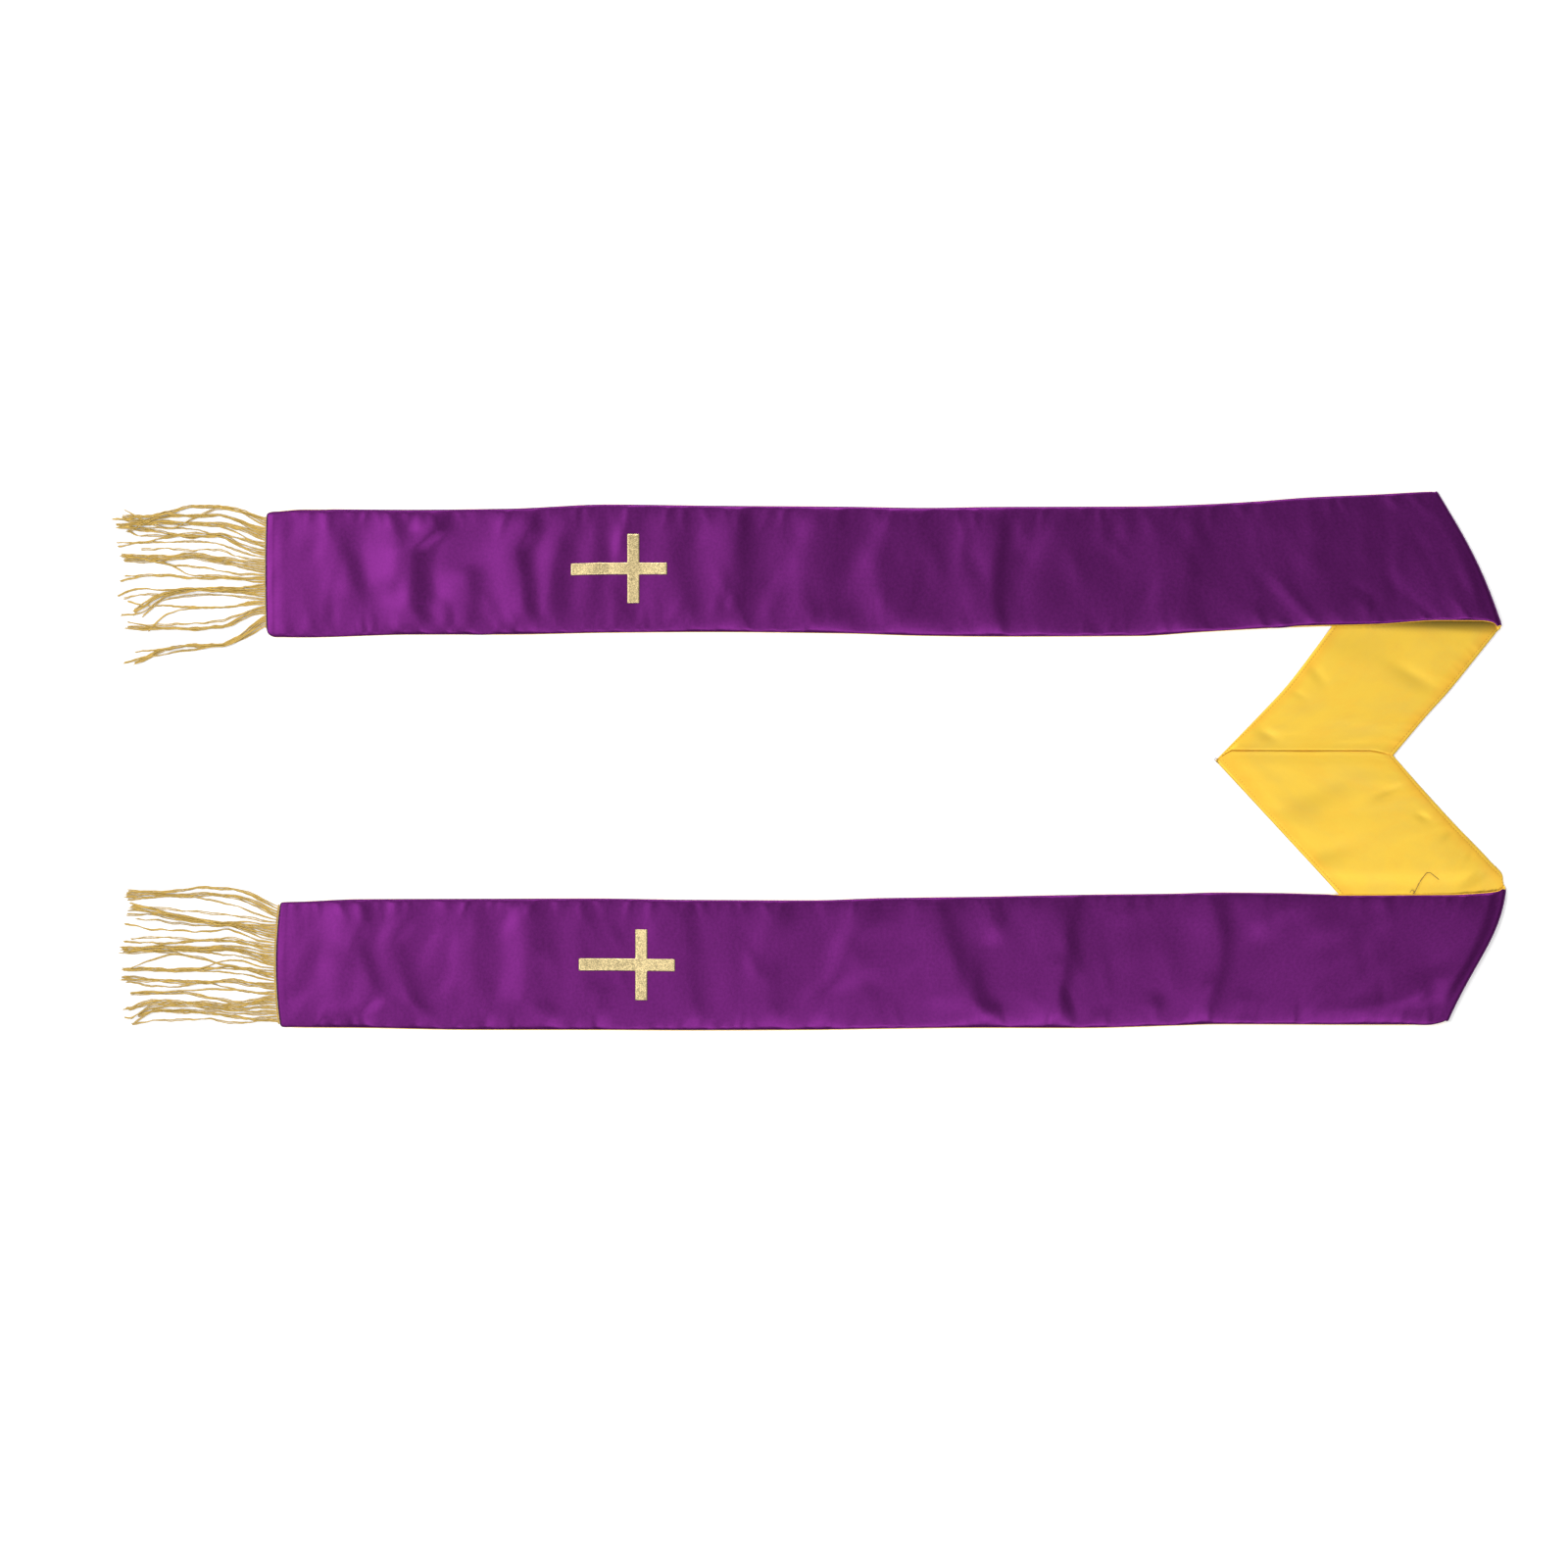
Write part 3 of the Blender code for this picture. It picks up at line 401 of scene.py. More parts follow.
LOWER = Half(
    name="lower",
    side=-1,
    hem_bow=4.0,
    cross_x=-210.0,
    edges=(
        Edge(-482.0, -240.2, -129.4),
        Edge(-480.6, -241.6, -128.4),
        Edge(-477.0, -242.2, -128.0),
        Edge(-460.0, -242.6, -127.5),
        Edge(-412.0, -242.9, -125.4),
        Edge(-309.0, -244.7, -125.0),
        Edge(-197.0, -244.8, -124.7),
        Edge(-112.0, -245.2, -125.9),
        Edge(2.0, -244.8, -126.4),
        Edge(66.0, -243.8, -124.4),
        Edge(155.0, -242.9, -123.2),
        Edge(245.0, -243.1, -121.4),
        Edge(334.0, -240.8, -120.3),
        Edge(370.0, -239.7, -119.3),
        Edge(423.0, -239.8, -119.7),
        Edge(481.0, -240.0, -121.0),
        Edge(562.0, -239.9, -120.6),
        Edge(581.0, -237.5, -120.5),
        Edge(634.0, -236.0, -117.5),
    ),
    fold=Fold((580.4, -236.6), (633.2, -116.0), 1.6, 2.6, 6.0, 1.9, 3.0),
    neck=(
        Neck(0.06, 567.8, -221.3, 631.6, -104.8),
        Neck(0.19, 541.6, -190.2, 619.6, -90.2),
        Neck(0.48, 481.3, -120.2, 587.1, -56.3),
        Neck(0.75, 424.2, -58.0, 558.4, -24.9),
    ),
    creases=(
        Crease((-430, -430, -430, -431, -432), 12, 10, 0.6),
        Crease((-408, -413, -406, -400, -409), 18, 9, 1.4),
        Crease((-370, -380, -375, -367, -355), 13, 9, 1.0),
        Crease((-309, -309, -308, -301, -294), 18, 12, 0.9),
        Crease((-259, -258, -258, -258, -251), 16, 16, 1.6),
        Crease((-210, -210, -209, -208, -207), 14, 9, 0.7),
        Crease((-191,) * 5, 8, 7, 0.6, 0.6),
        Crease((-117, -115, -113, -110, -108), 24, 9, 1.2),
        Crease((-75, -74, -73, -72, -71), 12, 9, 0.5),
        Crease((-30, -34, -39, -41, -39), 18, 12, 1.3),
        Crease((50, 39, 30, 11, 8), 15, 16, 1.3),
        Crease((115, 121, 132, 142, 155), 20, 13, 1.5),
        Crease((168, 167, 166, 165, 164), 9, 7, 0.8, 0.0, 0.4),
        Crease((231, 230, 229, 223, 224), 28, 10, 1.6),
        Crease((368, 372, 370, 363, 360), 15, 9, 1.2),
        Crease((412, 411, 410, 409, 408), 10, 8, 0.5, 0.0, 0.4),
        Crease((610, 603, 590, 556, 520), 26, 24, 1.1),
        Crease((166,) * 5, 8, 5, 0.6, 0.78),
        Crease((268,) * 5, 7, 4, 0.5, 0.82),
        Crease((314,) * 5, 8, 5, 0.6, 0.72),
        Crease((343,) * 5, 6, 4, 0.5, 0.86),
        Crease((512,) * 5, 6, 4, 0.5, 0.86),
        Crease((524,) * 5, 7, 5, 0.6, 0.0, 0.2),
    ),
    ridge=Ridge(6.0, 7.0, 0.15, 0.15, 13.0),
    neck_dents=(
        Dent(605.5, -107.6, 35.0, 17.0, 5.0, -1.5),
        Dent(527.8, -27.7, 24.0, 13.0, 4.0, -1.1),
        Dent(584.0, -65.2, 35.0, 8.0, 3.5, -1.0),
        Dent(559.0, -50.9, -30.0, 7.0, 3.0, -0.8),
        Dent(601.9, -85.7, 60.0, 5.0, 2.5, -0.6),
        Dent(466.0, -31.0, 28.0, 38.0, 12.0, -1.0),
        Dent(476.0, -84.0, 20.0, 22.0, 9.0, -0.9),
    ),
    under_dents=(
        Dent(490.0, -90.0, -42.0, 44.0, 7.0, 0.8),
        Dent(535.0, -50.0, 18.0, 30.0, 8.0, 0.6),
        Dent(560.0, -130.0, -60.0, 40.0, 6.0, 0.9),
        Dent(450.0, -40.0, -10.0, 30.0, 9.0, 0.5),
    ),
    inner_peek=(Peek(470.0, 660.0, 1.1),),
    outer_peek=(Peek(-482.0, 560.0, 0.6),),
    lip=Lip(0.35, 4.0),
    hollow=Hollow(560.0, 620.0, 1.2),
    cords=2,
    locks=(
        Lock(2, (-126.8, -119.2, -116.5, -114.5, -117.4, -118.8, -118.1), 140, 0, (3.0, 1.6, 1.6)),
        Lock(3, (-132.2, -125.9, -122.3, -121.4, -122.1, -121.9, -122.3), 141, 0, (5.0, 2.6, 5.0)),
        Lock(1, (-135.7, -133.7, -129.8, -125.3, -122.6, -123.2, -125.9), 140, 1),
        Lock(1, (-140.2, -140.2, -139.8, -137.7, -135.3, -133.1, -131.3), 118, 1),
        Lock(4, (-146.5, -146.9, -148.2, -145.1, -141.8, -135.7, -130.8), 136, 0, (11.0, 3.4, 4.8)),
        Lock(1, (-148.2, -148.2, -149.1, -146.5, -143.8, -139.6, -139.8), 141, 1),
        Lock(1, (-150.9, -150.9, -150.0, -149.1, -148.2, -143.8, -143.8), 133, 1),
        Lock(1, (-146.0, -146.4, -147.0, -144.0, -140.5, -137.0, -136.0), 138, 2),
        Lock(1, (-159.0, -158.1, -153.6, -154.8, -153.6, -153.6, -147.8), 141, 0),
        Lock(1, (-161.6, -162.1, -160.8, -162.6, -161.0, -160.1, -161.6), 137, 0),
        Lock(1, (-162.5, -163.0, -163.2, -163.4, -165.2, -165.2, -164.8), 142, 1),
        Lock(1, (-163.4, -163.9, -163.4, -163.4, -164.3, -168.8, -170.6), 112, 2),
        Lock(4, (-171.5, -170.6, -169.9, -170.6, -170.1, -170.6, -171.0), 143, 0, (6.5, 4.6, 5.0)),
        Lock(1, (-170.6, -170.6, -170.6, -171.0, -171.5, -168.8, -174.1), 144, 1),
        Lock(1, (-192.0, -188.4, -186.2, -179.0, -175.0, -173.7, -174.1), 141, 1),
        Lock(1, (-177.7, -175.9, -176.2, -173.7, -172.3, -171.9, -172.3), 140, 1),
        Lock(2, (-187.5, -187.5, -187.8, -189.3, -190.7, -188.7, -188.9), 141, 0, (4.0, 1.8, 1.6)),
        Lock(1, (-179.5, -179.9, -181.7, -187.1, -189.3, -189.3, -190.0), 139, 1),
        Lock(1, (-190.2, -187.5, -185.7, -179.9, -175.9, -180.8, -188.9), 141, 2),
        Lock(1, (-194.7, -193.1, -192.0, -191.1, -191.1, -190.2, -190.2), 140, 1),
        Lock(3, (-197.4, -199.1, -200.0, -200.9, -200.7, -199.1, -197.4), 143, 0, (4.0, 2.6, 3.4)),
        Lock(1, (-205.4, -208.1, -206.3, -200.9, -204.9, -204.9, -200.9), 142, 0),
        Lock(1, (-205.4, -207.2, -207.4, -208.1, -209.0, -209.9, -210.7), 136, 1),
        Lock(2, (-225.9, -223.7, -218.3, -213.7, -210.7, -210.7, -211.6), 136, 0, (4.0, 2.4, 3.0)),
        Lock(3, (-229.5, -225.9, -222.8, -220.6, -219.7, -218.8, -225.5), 142, 0, (6.0, 4.0, 4.4)),
        Lock(1, (-231.3, -228.6, -225.0, -222.4, -221.5, -222.4, -234.4), 135, 1),
        Lock(1, (-233.1, -230.4, -226.8, -224.1, -222.8, -224.1, -233.5), 141, 2),
        Lock(1, (-234.9, -232.2, -229.5, -226.8, -225.9, -227.3, -240.2), 133, 1),
        Lock(2, (-237.5, -236.6, -231.7, -229.1, -228.0, -227.3, -233.1), 131, 0, (3.0, 1.8, 2.4)),
        Lock(1, (-242.4, -238.9, -238.0, -234.9, -234.9, -235.7, -240.2), 137, 0),
    ),
)


def metres(name, description, default, least, most):
    """A length property in metres."""
    return FloatProperty(
        name=name, description=description, default=default, min=least, max=most, unit="LENGTH", precision=5
    )


def watts(name, description, default):
    """A light's power property in watts."""
    return FloatProperty(name=name, description=description, default=default, min=0.0, unit="POWER")


def colour(name, description, value):
    """A colour property, linear RGB."""
    return FloatVectorProperty(
        name=name, description=description, default=value, size=3, min=0.0, max=1.0, subtype="COLOR"
    )


class StoleCloth(PropertyGroup):
    """Sizes of the satin and its creases."""

    thickness: metres("Satin thickness", "Thickness of one layer of satin", 0.00035, 0.0001, 0.001)
    crease: FloatProperty(
        name="Crease height", description="Height of the main creases, as a share of the shown ones",
        default=1.7, min=0.0, max=2.0, subtype="FACTOR",
    )
    pucker: metres("Pucker height", "Height of the small puckers along the sewn edges", 0.0004, 0.0, 0.001)
    fullness: metres("Uneven fullness", "Height of the satin's small uneven swells", 0.0005, 0.0, 0.001)
    pucker_gap: metres("Pucker spacing", "Mean distance between puckers along an edge", 0.013, 0.005, 0.05)
    thread: metres("Weave pitch", "Distance between neighbouring threads of the satin", 0.0004, 0.0001, 0.002)


class StoleTrim(PropertyGroup):
    """Sizes of the fringe, the foil and the sewing."""

    yarn: metres("Strand thickness", "Thickness of a strand of two yarns", 0.0014, 0.0005, 0.003)
    twist: metres("Twist pitch", "Length in which a yarn turns once on itself", 0.00275, 0.001, 0.01)
    foil: metres("Foil thickness", "Thickness of the gold foil of the crosses", 0.0004, 0.0001, 0.001)
    stitch: metres("Stitch pitch", "Distance from one stitch to the next", 0.0029, 0.001, 0.006)
    sewing_thread: metres("Sewing thread", "Thickness of the sewing thread", 0.00045, 0.0001, 0.001)
    seed: IntProperty(
        name="Seed", description="Choice of the small puckers and of the strands' waviness", default=7, min=0,
    )


class StoleColours(PropertyGroup):
    """Colours of the cloths and trims, linear RGB."""

    purple: colour("Purple satin", "Colour of the purple satin in plain light", (0.104, 0.0108, 0.115))
    purple_sheen: colour("Purple highlight", "Colour of the purple satin's sheen", (0.17, 0.022, 0.19))
    yellow: colour("Yellow satin", "Colour of the yellow satin in plain light", (0.90, 0.585, 0.06))
    # Also the base of the painted shadow in the fold's hollow and of the painted shade in the neck's dents
    yellow_dull: colour("Yellow in its dents", "Duller yellow of the satin's soft dents", (0.80, 0.53, 0.075))
    # Its deeper tone is mixed in at random patches, in a band along the sewn edges, and along the neck seam
    # as painted shade
    yellow_deep: colour("Yellow in its folds", "Deeper yellow along seams and hollows", (0.90, 0.42, 0.03))
    foil: colour("Gold foil", "Colour of the pressed gold foil", (0.585, 0.465, 0.235))
    yarn: colour("Fringe yarn", "Colour of the fringe's gold yarn", (0.80, 0.535, 0.12))
    # Painted shade: the colour the yarn is given in its grooves and down its sides
    yarn_shade: colour("Yarn in its grooves", "Colour down the sides of the yarns", (0.16, 0.09, 0.02))
    stitch: colour("Topstitch", "Colour of the sewing thread on the yellow satin", (0.55, 0.27, 0.02))
    loose: colour("Loose thread", "Colour of the loose brown thread", (0.15, 0.06, 0.04))
    floor: colour("Table", "Colour of the plain table", (0.9, 0.9, 0.9))


class StoleLight(PropertyGroup):
    """Studio light and camera."""

    key: watts("Key light", "Power of the large soft light at the hems' side", 50.0)
    side: watts("Side light", "Power of the low soft light beyond the upper band", 48.0)
    front: watts("Front light", "Power of the soft light before the lower band", 61.0)
    overhead: watts("Overhead light", "Power of the soft light above the hems", 72.0)
    glow: FloatProperty(
        name="Table glow", description="Strength of the light table under the stole",
        default=0.25, min=0.0, max=2.0,
    )
    surround: FloatProperty(
        name="Surround", description="Strength of the pale surroundings", default=0.2, min=0.0, max=4.0,
    )
    camera_height: metres("Camera height", "Height of the camera straight above the table", 4.0, 1.0, 20.0)
    picture_width: metres("Picture width", "Width of table that the picture shows", 1.4288, 0.1, 10.0)


def ease(amount):
    """Smooth step: three times the square less twice the cube, held between 0 and 1."""
    amount = np.clip(amount, 0.0, 1.0)
    return amount * amount * (3 - 2 * amount)


def blend(low, high, amount):
    """From low to high by the smooth step of amount."""
    return low + (high - low) * ease(amount)


def bell(past, before, after):
    """A soft ridge: e to the minus square of the distance over its width, which differs by side."""
    return np.exp(-((past / np.where(past < 0, before, after)) ** 2))


def through(stations, values, at):
    """A smooth line through the given points: cubics with slopes that never swing past a point."""
    stations = np.asarray(stations, float)
    values = np.asarray(values, float)
    gaps = np.diff(stations)
    secants = np.diff(values) / gaps
    slopes = np.zeros_like(values)
    slopes[0] = secants[0]
    slopes[-1] = secants[-1]
    same_way = secants[:-1] * secants[1:] > 0
    product = 2 * secants[:-1] * secants[1:]
    total = np.where(same_way, secants[:-1] + secants[1:], 1.0)
    slopes[1:-1] = np.where(same_way, product / total, 0.0)
    at = np.clip(at, stations[0], stations[-1])
    span = np.clip(np.searchsorted(stations, at, side="right") - 1, 0, len(gaps) - 1)
    gap = gaps[span]
    u = (at - stations[span]) / gap
    start = (1 + 2 * u) * (1 - u) ** 2 * values[span] + u * (1 - u) ** 2 * gap * slopes[span]
    end = u * u * (3 - 2 * u) * values[span + 1] + u * u * (u - 1) * gap * slopes[span + 1]
    return start + end


def edge_y(half, column, x):
    """Where an edge of the band is across the table, at x along it."""
    return through([row.x for row in half.edges], [getattr(row, column) for row in half.edges], x)


def columns_across():
    """Fractions across a band, close together along its sewn edges and even between them."""
    edge = np.array(EDGE_POINTS) / BAND_WIDTH
    middle = np.linspace(edge[-1], 1 - edge[-1], MIDDLE_COLUMNS)[1:-1]
    return np.concatenate([edge, middle, 1 - edge[::-1]])


def fold_line(half, v):
    """The fold in plan at fractions v across: a chord between its corners, bowed outwards."""
    tight = np.array(half.fold.tight)
    toward = np.array(half.fold.open) - tight
    along = toward / np.linalg.norm(toward)
    return FoldLine(
        chord=tight + v[:, None] * toward,
        bow=half.fold.bow * np.sin(math.pi * v**half.fold.bow_skew),
        radius=half.fold.tight_radius + v * (half.fold.open_radius - half.fold.tight_radius),
        slide=half.fold.slide * v,
        outward=np.array([-along[1], along[0]]) * half.side,
        along=along,
    )


ENDS = np.array([0.0, 1.0])


def turn_start(half):
    """Where the outer and inner ends of the band's last row are in plan, at the start of its turn."""
    fold = fold_line(half, ENDS)
    return fold.chord - fold.radius[:, None] * fold.outward


def band_lift(half, plan):
    """How far the band is held up: over its neck half, and near the rounded fold."""
    fold = fold_line(half, ENDS)
    tight, opened = fold.chord
    from_tight = plan - tight
    inward = np.maximum(-(from_tight @ fold.outward), 0.0)
    part = np.clip(from_tight @ fold.along / np.linalg.norm(opened - tight), 0.0, 1.0)
    here = half.fold.tight_radius + part * (half.fold.open_radius - half.fold.tight_radius)
    halfway = min(half.neck, key=lambda row: abs(row.part - 0.5))
    under = np.array([halfway.outer_x, halfway.outer_y]) - tight
    under = under / np.linalg.norm(under)
    beside = np.array([under[1] * half.side, -under[0] * half.side])
    outside = from_tight @ beside
    bridge = 1 - ease((outside - BRIDGE_START) / (BRIDGE_END - BRIDGE_START))
    opening = (2 * here - REST_LIFT) * (1 - ease(inward / blend(FOLD_RELAX, OPEN_RELAX, part)))
    return REST_LIFT * bridge + opening


def band_rows(half, stations, v):
    """The band on top: straight lines between its two edges, sheared and bowed towards the fold."""
    stations = np.asarray(stations, float)
    start = turn_start(half)
    away = start[0, 0] - stations
    skew = blend(start[-1, 0] - start[0, 0], 0.0, (away - SHEAR_START) / (SHEAR_END - SHEAR_START))
    ends = []
    for column, x, place in (("outer_y", stations, start[0]), ("inner_y", stations + skew, start[-1])):
        y = edge_y(half, column, x)
        missing = place[1] - edge_y(half, column, place[0])
        near = np.clip(1 - away / EDGE_BLEND, 0.0, 1.0)
        ends.append(np.stack([x, y + missing * (1 - np.sqrt(1 - near**2))], axis=-1))
    plan = ends[0][:, None] + v[None, :, None] * (ends[1] - ends[0])[:, None]
    fold = fold_line(half, v)
    plan = plan + fold.bow[None, :, None] * np.exp(-((away / FOLD_RELAX) ** 2))[:, None, None] * fold.outward
    hem = stations - half.edges[0].x
    plan[..., 0] -= half.hem_bow * (1 - (2 * v - 1) ** 2)[None, :] * (1 - ease(hem / HEM_FADE))[:, None]
    middle = np.concatenate([plan, (OUTER_FACE + band_lift(half, plan))[..., None]], axis=-1)
    normal = np.zeros_like(middle)
    normal[..., 2] = 1.0
    width = np.linalg.norm(ends[1] - ends[0], axis=-1)
    inward = fold.bow - (plan - fold.chord[0]) @ fold.outward
    return strip_of(middle, normal, hem, width, v, hem=hem, away=away, inward=inward)


def strip_of(middle, normal, run, width, v, hem=FAR, away=0.0, inward=0.0, seam=FAR, part=0.0):
    """The arrays of one stretch, each spread over its whole grid."""
    shape = middle.shape[:2]

    def spread(values):
        values = np.asarray(values, float)
        return np.broadcast_to(values[:, None] if values.ndim == 1 else values, shape)

    across = width[:, None] * v[None, :]
    beyond = width[:, None] * (1 - v)[None, :]
    return Strip(
        middle, normal, spread(run), spread(hem), spread(away), spread(inward), spread(seam),
        across, beyond, spread(part),
    )


def turn_rows(half, v, run):
    """The half turn round the fold: a half circle whose radius grows across the band."""
    fold = fold_line(half, v)
    angle = math.pi * np.arange(TURN_STEPS) / TURN_STEPS
    swing = (fold.bow - fold.radius * (1 - np.sin(angle))[:, None])[..., None] * fold.outward
    slid = (fold.slide * ease(angle / math.pi)[:, None])[..., None] * fold.along
    height = OUTER_FACE + fold.radius * (1 + np.cos(angle))[:, None]
    middle = np.concatenate([fold.chord + swing + slid, height[..., None]], axis=-1)
    direction = np.concatenate([np.sin(angle)[:, None] * fold.outward, np.cos(angle)[:, None]], axis=-1)
    normal = np.broadcast_to(direction[:, None], middle.shape)
    width = np.full(len(angle), BAND_WIDTH)
    return strip_of(middle, normal, run + angle * fold.radius.mean(), width, v)


def neck_rows(half, parts, v, run):
    """The neck half on the table: rows between its two edges, from the fold to the mitred seam."""
    fold = fold_line(half, v)
    ends = turn_start(half) + fold.slide[[0, -1], None] * fold.along
    gap = np.array([0.0, half.side * SEAM_CLEAR / 2])
    sewn = Neck(1.0, *(SEAM_LINE[0] + gap), *(SEAM_LINE[-1] + gap))
    rows = [Neck(0.0, *ends[0], *ends[1]), *half.neck, sewn]
    at = [row.part for row in rows]
    outer, inner = (
        np.stack([through(at, [getattr(row, name) for row in rows], parts) for name in names], axis=-1)
        for names in (("outer_x", "outer_y"), ("inner_x", "inner_y"))
    )
    plan = outer[:, None] + v[None, :, None] * (inner - outer)[:, None]
    plan = plan + fold.bow[None, :, None] * fold.outward * (1 - ease(parts / BLEND_PART))[:, None, None]
    seam_x = SEAM_LINE[0, 0] + v * (SEAM_LINE[-1, 0] - SEAM_LINE[0, 0])
    chord = SEAM_LINE[0, 1] + v * (SEAM_LINE[-1, 1] - SEAM_LINE[0, 1])
    bulge = np.interp(seam_x, SEAM_LINE[:, 0], SEAM_LINE[:, 1]) - chord
    plan[..., 1] += ease(1 - (1 - parts) / BLEND_PART)[:, None] * bulge
    middle = np.concatenate([plan, np.full(plan.shape[:2] + (1,), OUTER_FACE)], axis=-1)
    normal = np.zeros_like(middle)
    normal[..., 2] = -1.0
    corners = np.array([(row[1:3], row[3:5]) for row in rows])
    lengths = np.linalg.norm(np.diff(corners, axis=0), axis=-1).sum(axis=0)
    seam = (1 - parts)[:, None] * (lengths[0] + v * (lengths[1] - lengths[0]))
    width = np.linalg.norm(inner - outer, axis=-1)
    return strip_of(
        middle, normal, run + parts * NECK_LENGTH, width, v, away=-parts * NECK_LENGTH, seam=seam, part=parts
    )


def whole_strip(half, v):
    """All of a half's rows, from its hem round the fold to the neck seam."""
    hem = half.edges[0].x
    turn = turn_start(half)[0, 0]
    count = round((turn - hem - HEM_POINTS[-1]) / BAND_STEP)
    stations = np.concatenate(
        [hem + np.array(HEM_POINTS[:-1]), np.linspace(hem + HEM_POINTS[-1], turn, count + 1)[:-1]]
    )
    run = turn - hem
    ridge = 1 - np.array(SEAM_POINTS) / NECK_LENGTH
    parts = np.concatenate([np.linspace(0, ridge[0], round(NECK_LENGTH / NECK_STEP))[:-1], ridge])
    turned = turn_rows(half, v, run)
    stretches = (band_rows(half, stations, v), turned, neck_rows(half, parts, v, turned.run[-1, 0]))
    return Strip(*(np.concatenate(arrays) for arrays in zip(*stretches)))


def rolled(distance, radius):
    """How full the cloth is near an edge: a quarter of an ellipse over the radius."""
    return np.sqrt(1 - (1 - np.clip(distance / radius, 0.0, 1.0)) ** 2)


def creases(rows, x, down, share):
    """Height of the creases laid across a band: a bell either side of each one's crest line."""
    height = np.zeros(np.broadcast(x, down).shape)
    for row in rows:
        line = (row.crest[0], *row.crest, row.crest[-1])
        crest = through(CREST_AT, line, down)
        shown = 1.0
        if row.begin > 0:
            shown = shown * ease((down - row.begin) / CREASE_BEGIN)
        if row.end < 1:
            shown = shown * ease((row.end - down) / CREASE_END)
        soft = bell(x - crest, row.rise * CREASE_SOFT, row.fall * CREASE_SOFT)
        height = height + row.height * share * soft * shown
    return height


def dents(rows, x, y):
    """Soft ridges and hollows: a bell along each one's own direction and one across it."""
    height = np.zeros(x.shape)
    for row in rows:
        c, s = math.cos(math.radians(row.turn)), math.sin(math.radians(row.turn))
        along = (x - row.x) * c + (y - row.y) * s
        aside = (y - row.y) * c - (x - row.x) * s
        height = height + row.height * np.exp(-((along / row.length) ** 2) - (aside / row.width) ** 2)
    return height


def puckers(strip, seed, height, gap):
    """Small gathers along the sewn edges: bells along the edge that fade inwards from it."""
    relief = np.zeros(strip.run.shape)
    dice = np.random.default_rng(seed)
    for distance in (strip.outer_in, strip.inner_in):
        at = dice.uniform(0, gap)
        while at < CLOTH_LENGTH:
            reach = dice.uniform(*PUCKER_REACH)
            width = dice.uniform(*PUCKER_WIDTH)
            lean = dice.uniform(*PUCKER_LEAN)
            tall = height * dice.uniform(*PUCKER_SHARE)
            fade = ease(distance / 4.0) * (1 - ease(distance / reach))
            relief += tall * np.exp(-(((strip.run - at - lean * distance) / width) ** 2)) * fade
            at += gap * dice.uniform(*PUCKER_SPACING)
    return relief


def fullness(strip, seed, height):
    """The satin's uneven fullness: small bells, up and down, strewn over the band at random."""
    relief = np.zeros(strip.run.shape)
    dice = np.random.default_rng(seed)
    for _ in range(FULLNESS_COUNT):
        at = dice.uniform(0, CLOTH_LENGTH)
        across = dice.uniform(0, BAND_WIDTH)
        wide = dice.uniform(*FULLNESS_WIDTH)
        tall = dice.uniform(*FULLNESS_LENGTH)
        lean = dice.uniform(*FULLNESS_LEAN)
        rise = height * dice.uniform(-1.0, 1.0)
        near = np.abs(strip.run[:, 0] - at) < 3 * (wide + tall * abs(lean))
        past = strip.run[near] - at - lean * (strip.outer_in[near] - across)
        relief[near] += rise * np.exp(-((past / wide) ** 2) - ((strip.outer_in[near] - across) / tall) ** 2)
    return relief


def peek(rows, x):
    """How far the yellow edge stands out past the purple one along the band."""
    amount = np.zeros(x.shape)
    for row in rows:
        shown = row.amount * ease((x - row.start) / PEEK_FADE) * ease((row.end - x) / PEEK_FADE)
        amount = np.maximum(amount, shown)
    return amount


def edge_roll(strip):
    """Fullness at the long edges and the hem, from 0 on the edge to 1 inside."""
    across = rolled(np.minimum(strip.outer_in, strip.inner_in), EDGE_ROLL)
    return across * rolled(strip.hem, EDGE_ROLL)


def peeks(half, strip):
    """For the outer and the inner edge: the distance in from it, the way in along the row, and how
    far the yellow is rolled up past the purple there."""
    x = strip.middle[..., 0]
    across = strip.middle[:, -1] - strip.middle[:, 0]
    across = (across / np.linalg.norm(across, axis=-1, keepdims=True))[:, None]
    shown = ease(1 + strip.away / PEEK_TURN) * ease(strip.hem / HEM_END)
    yield strip.outer_in, across, peek(half.outer_peek, x) * shown
    yield strip.inner_in, -across, peek(half.inner_peek, x) * shown


def fold_ridge(half, strip, v):
    """The soft ridge inside the fold, from which the band falls away to the fold's edge."""
    ridge = half.ridge
    crest = blend(ridge.tight_at, ridge.open_at, v**3)
    past = crest - strip.inward
    height = blend(ridge.tight_height, ridge.open_height, v) * bell(past, ridge.rise, 0.75 * crest)
    return height * ease(strip.away / CREASE_FADE)


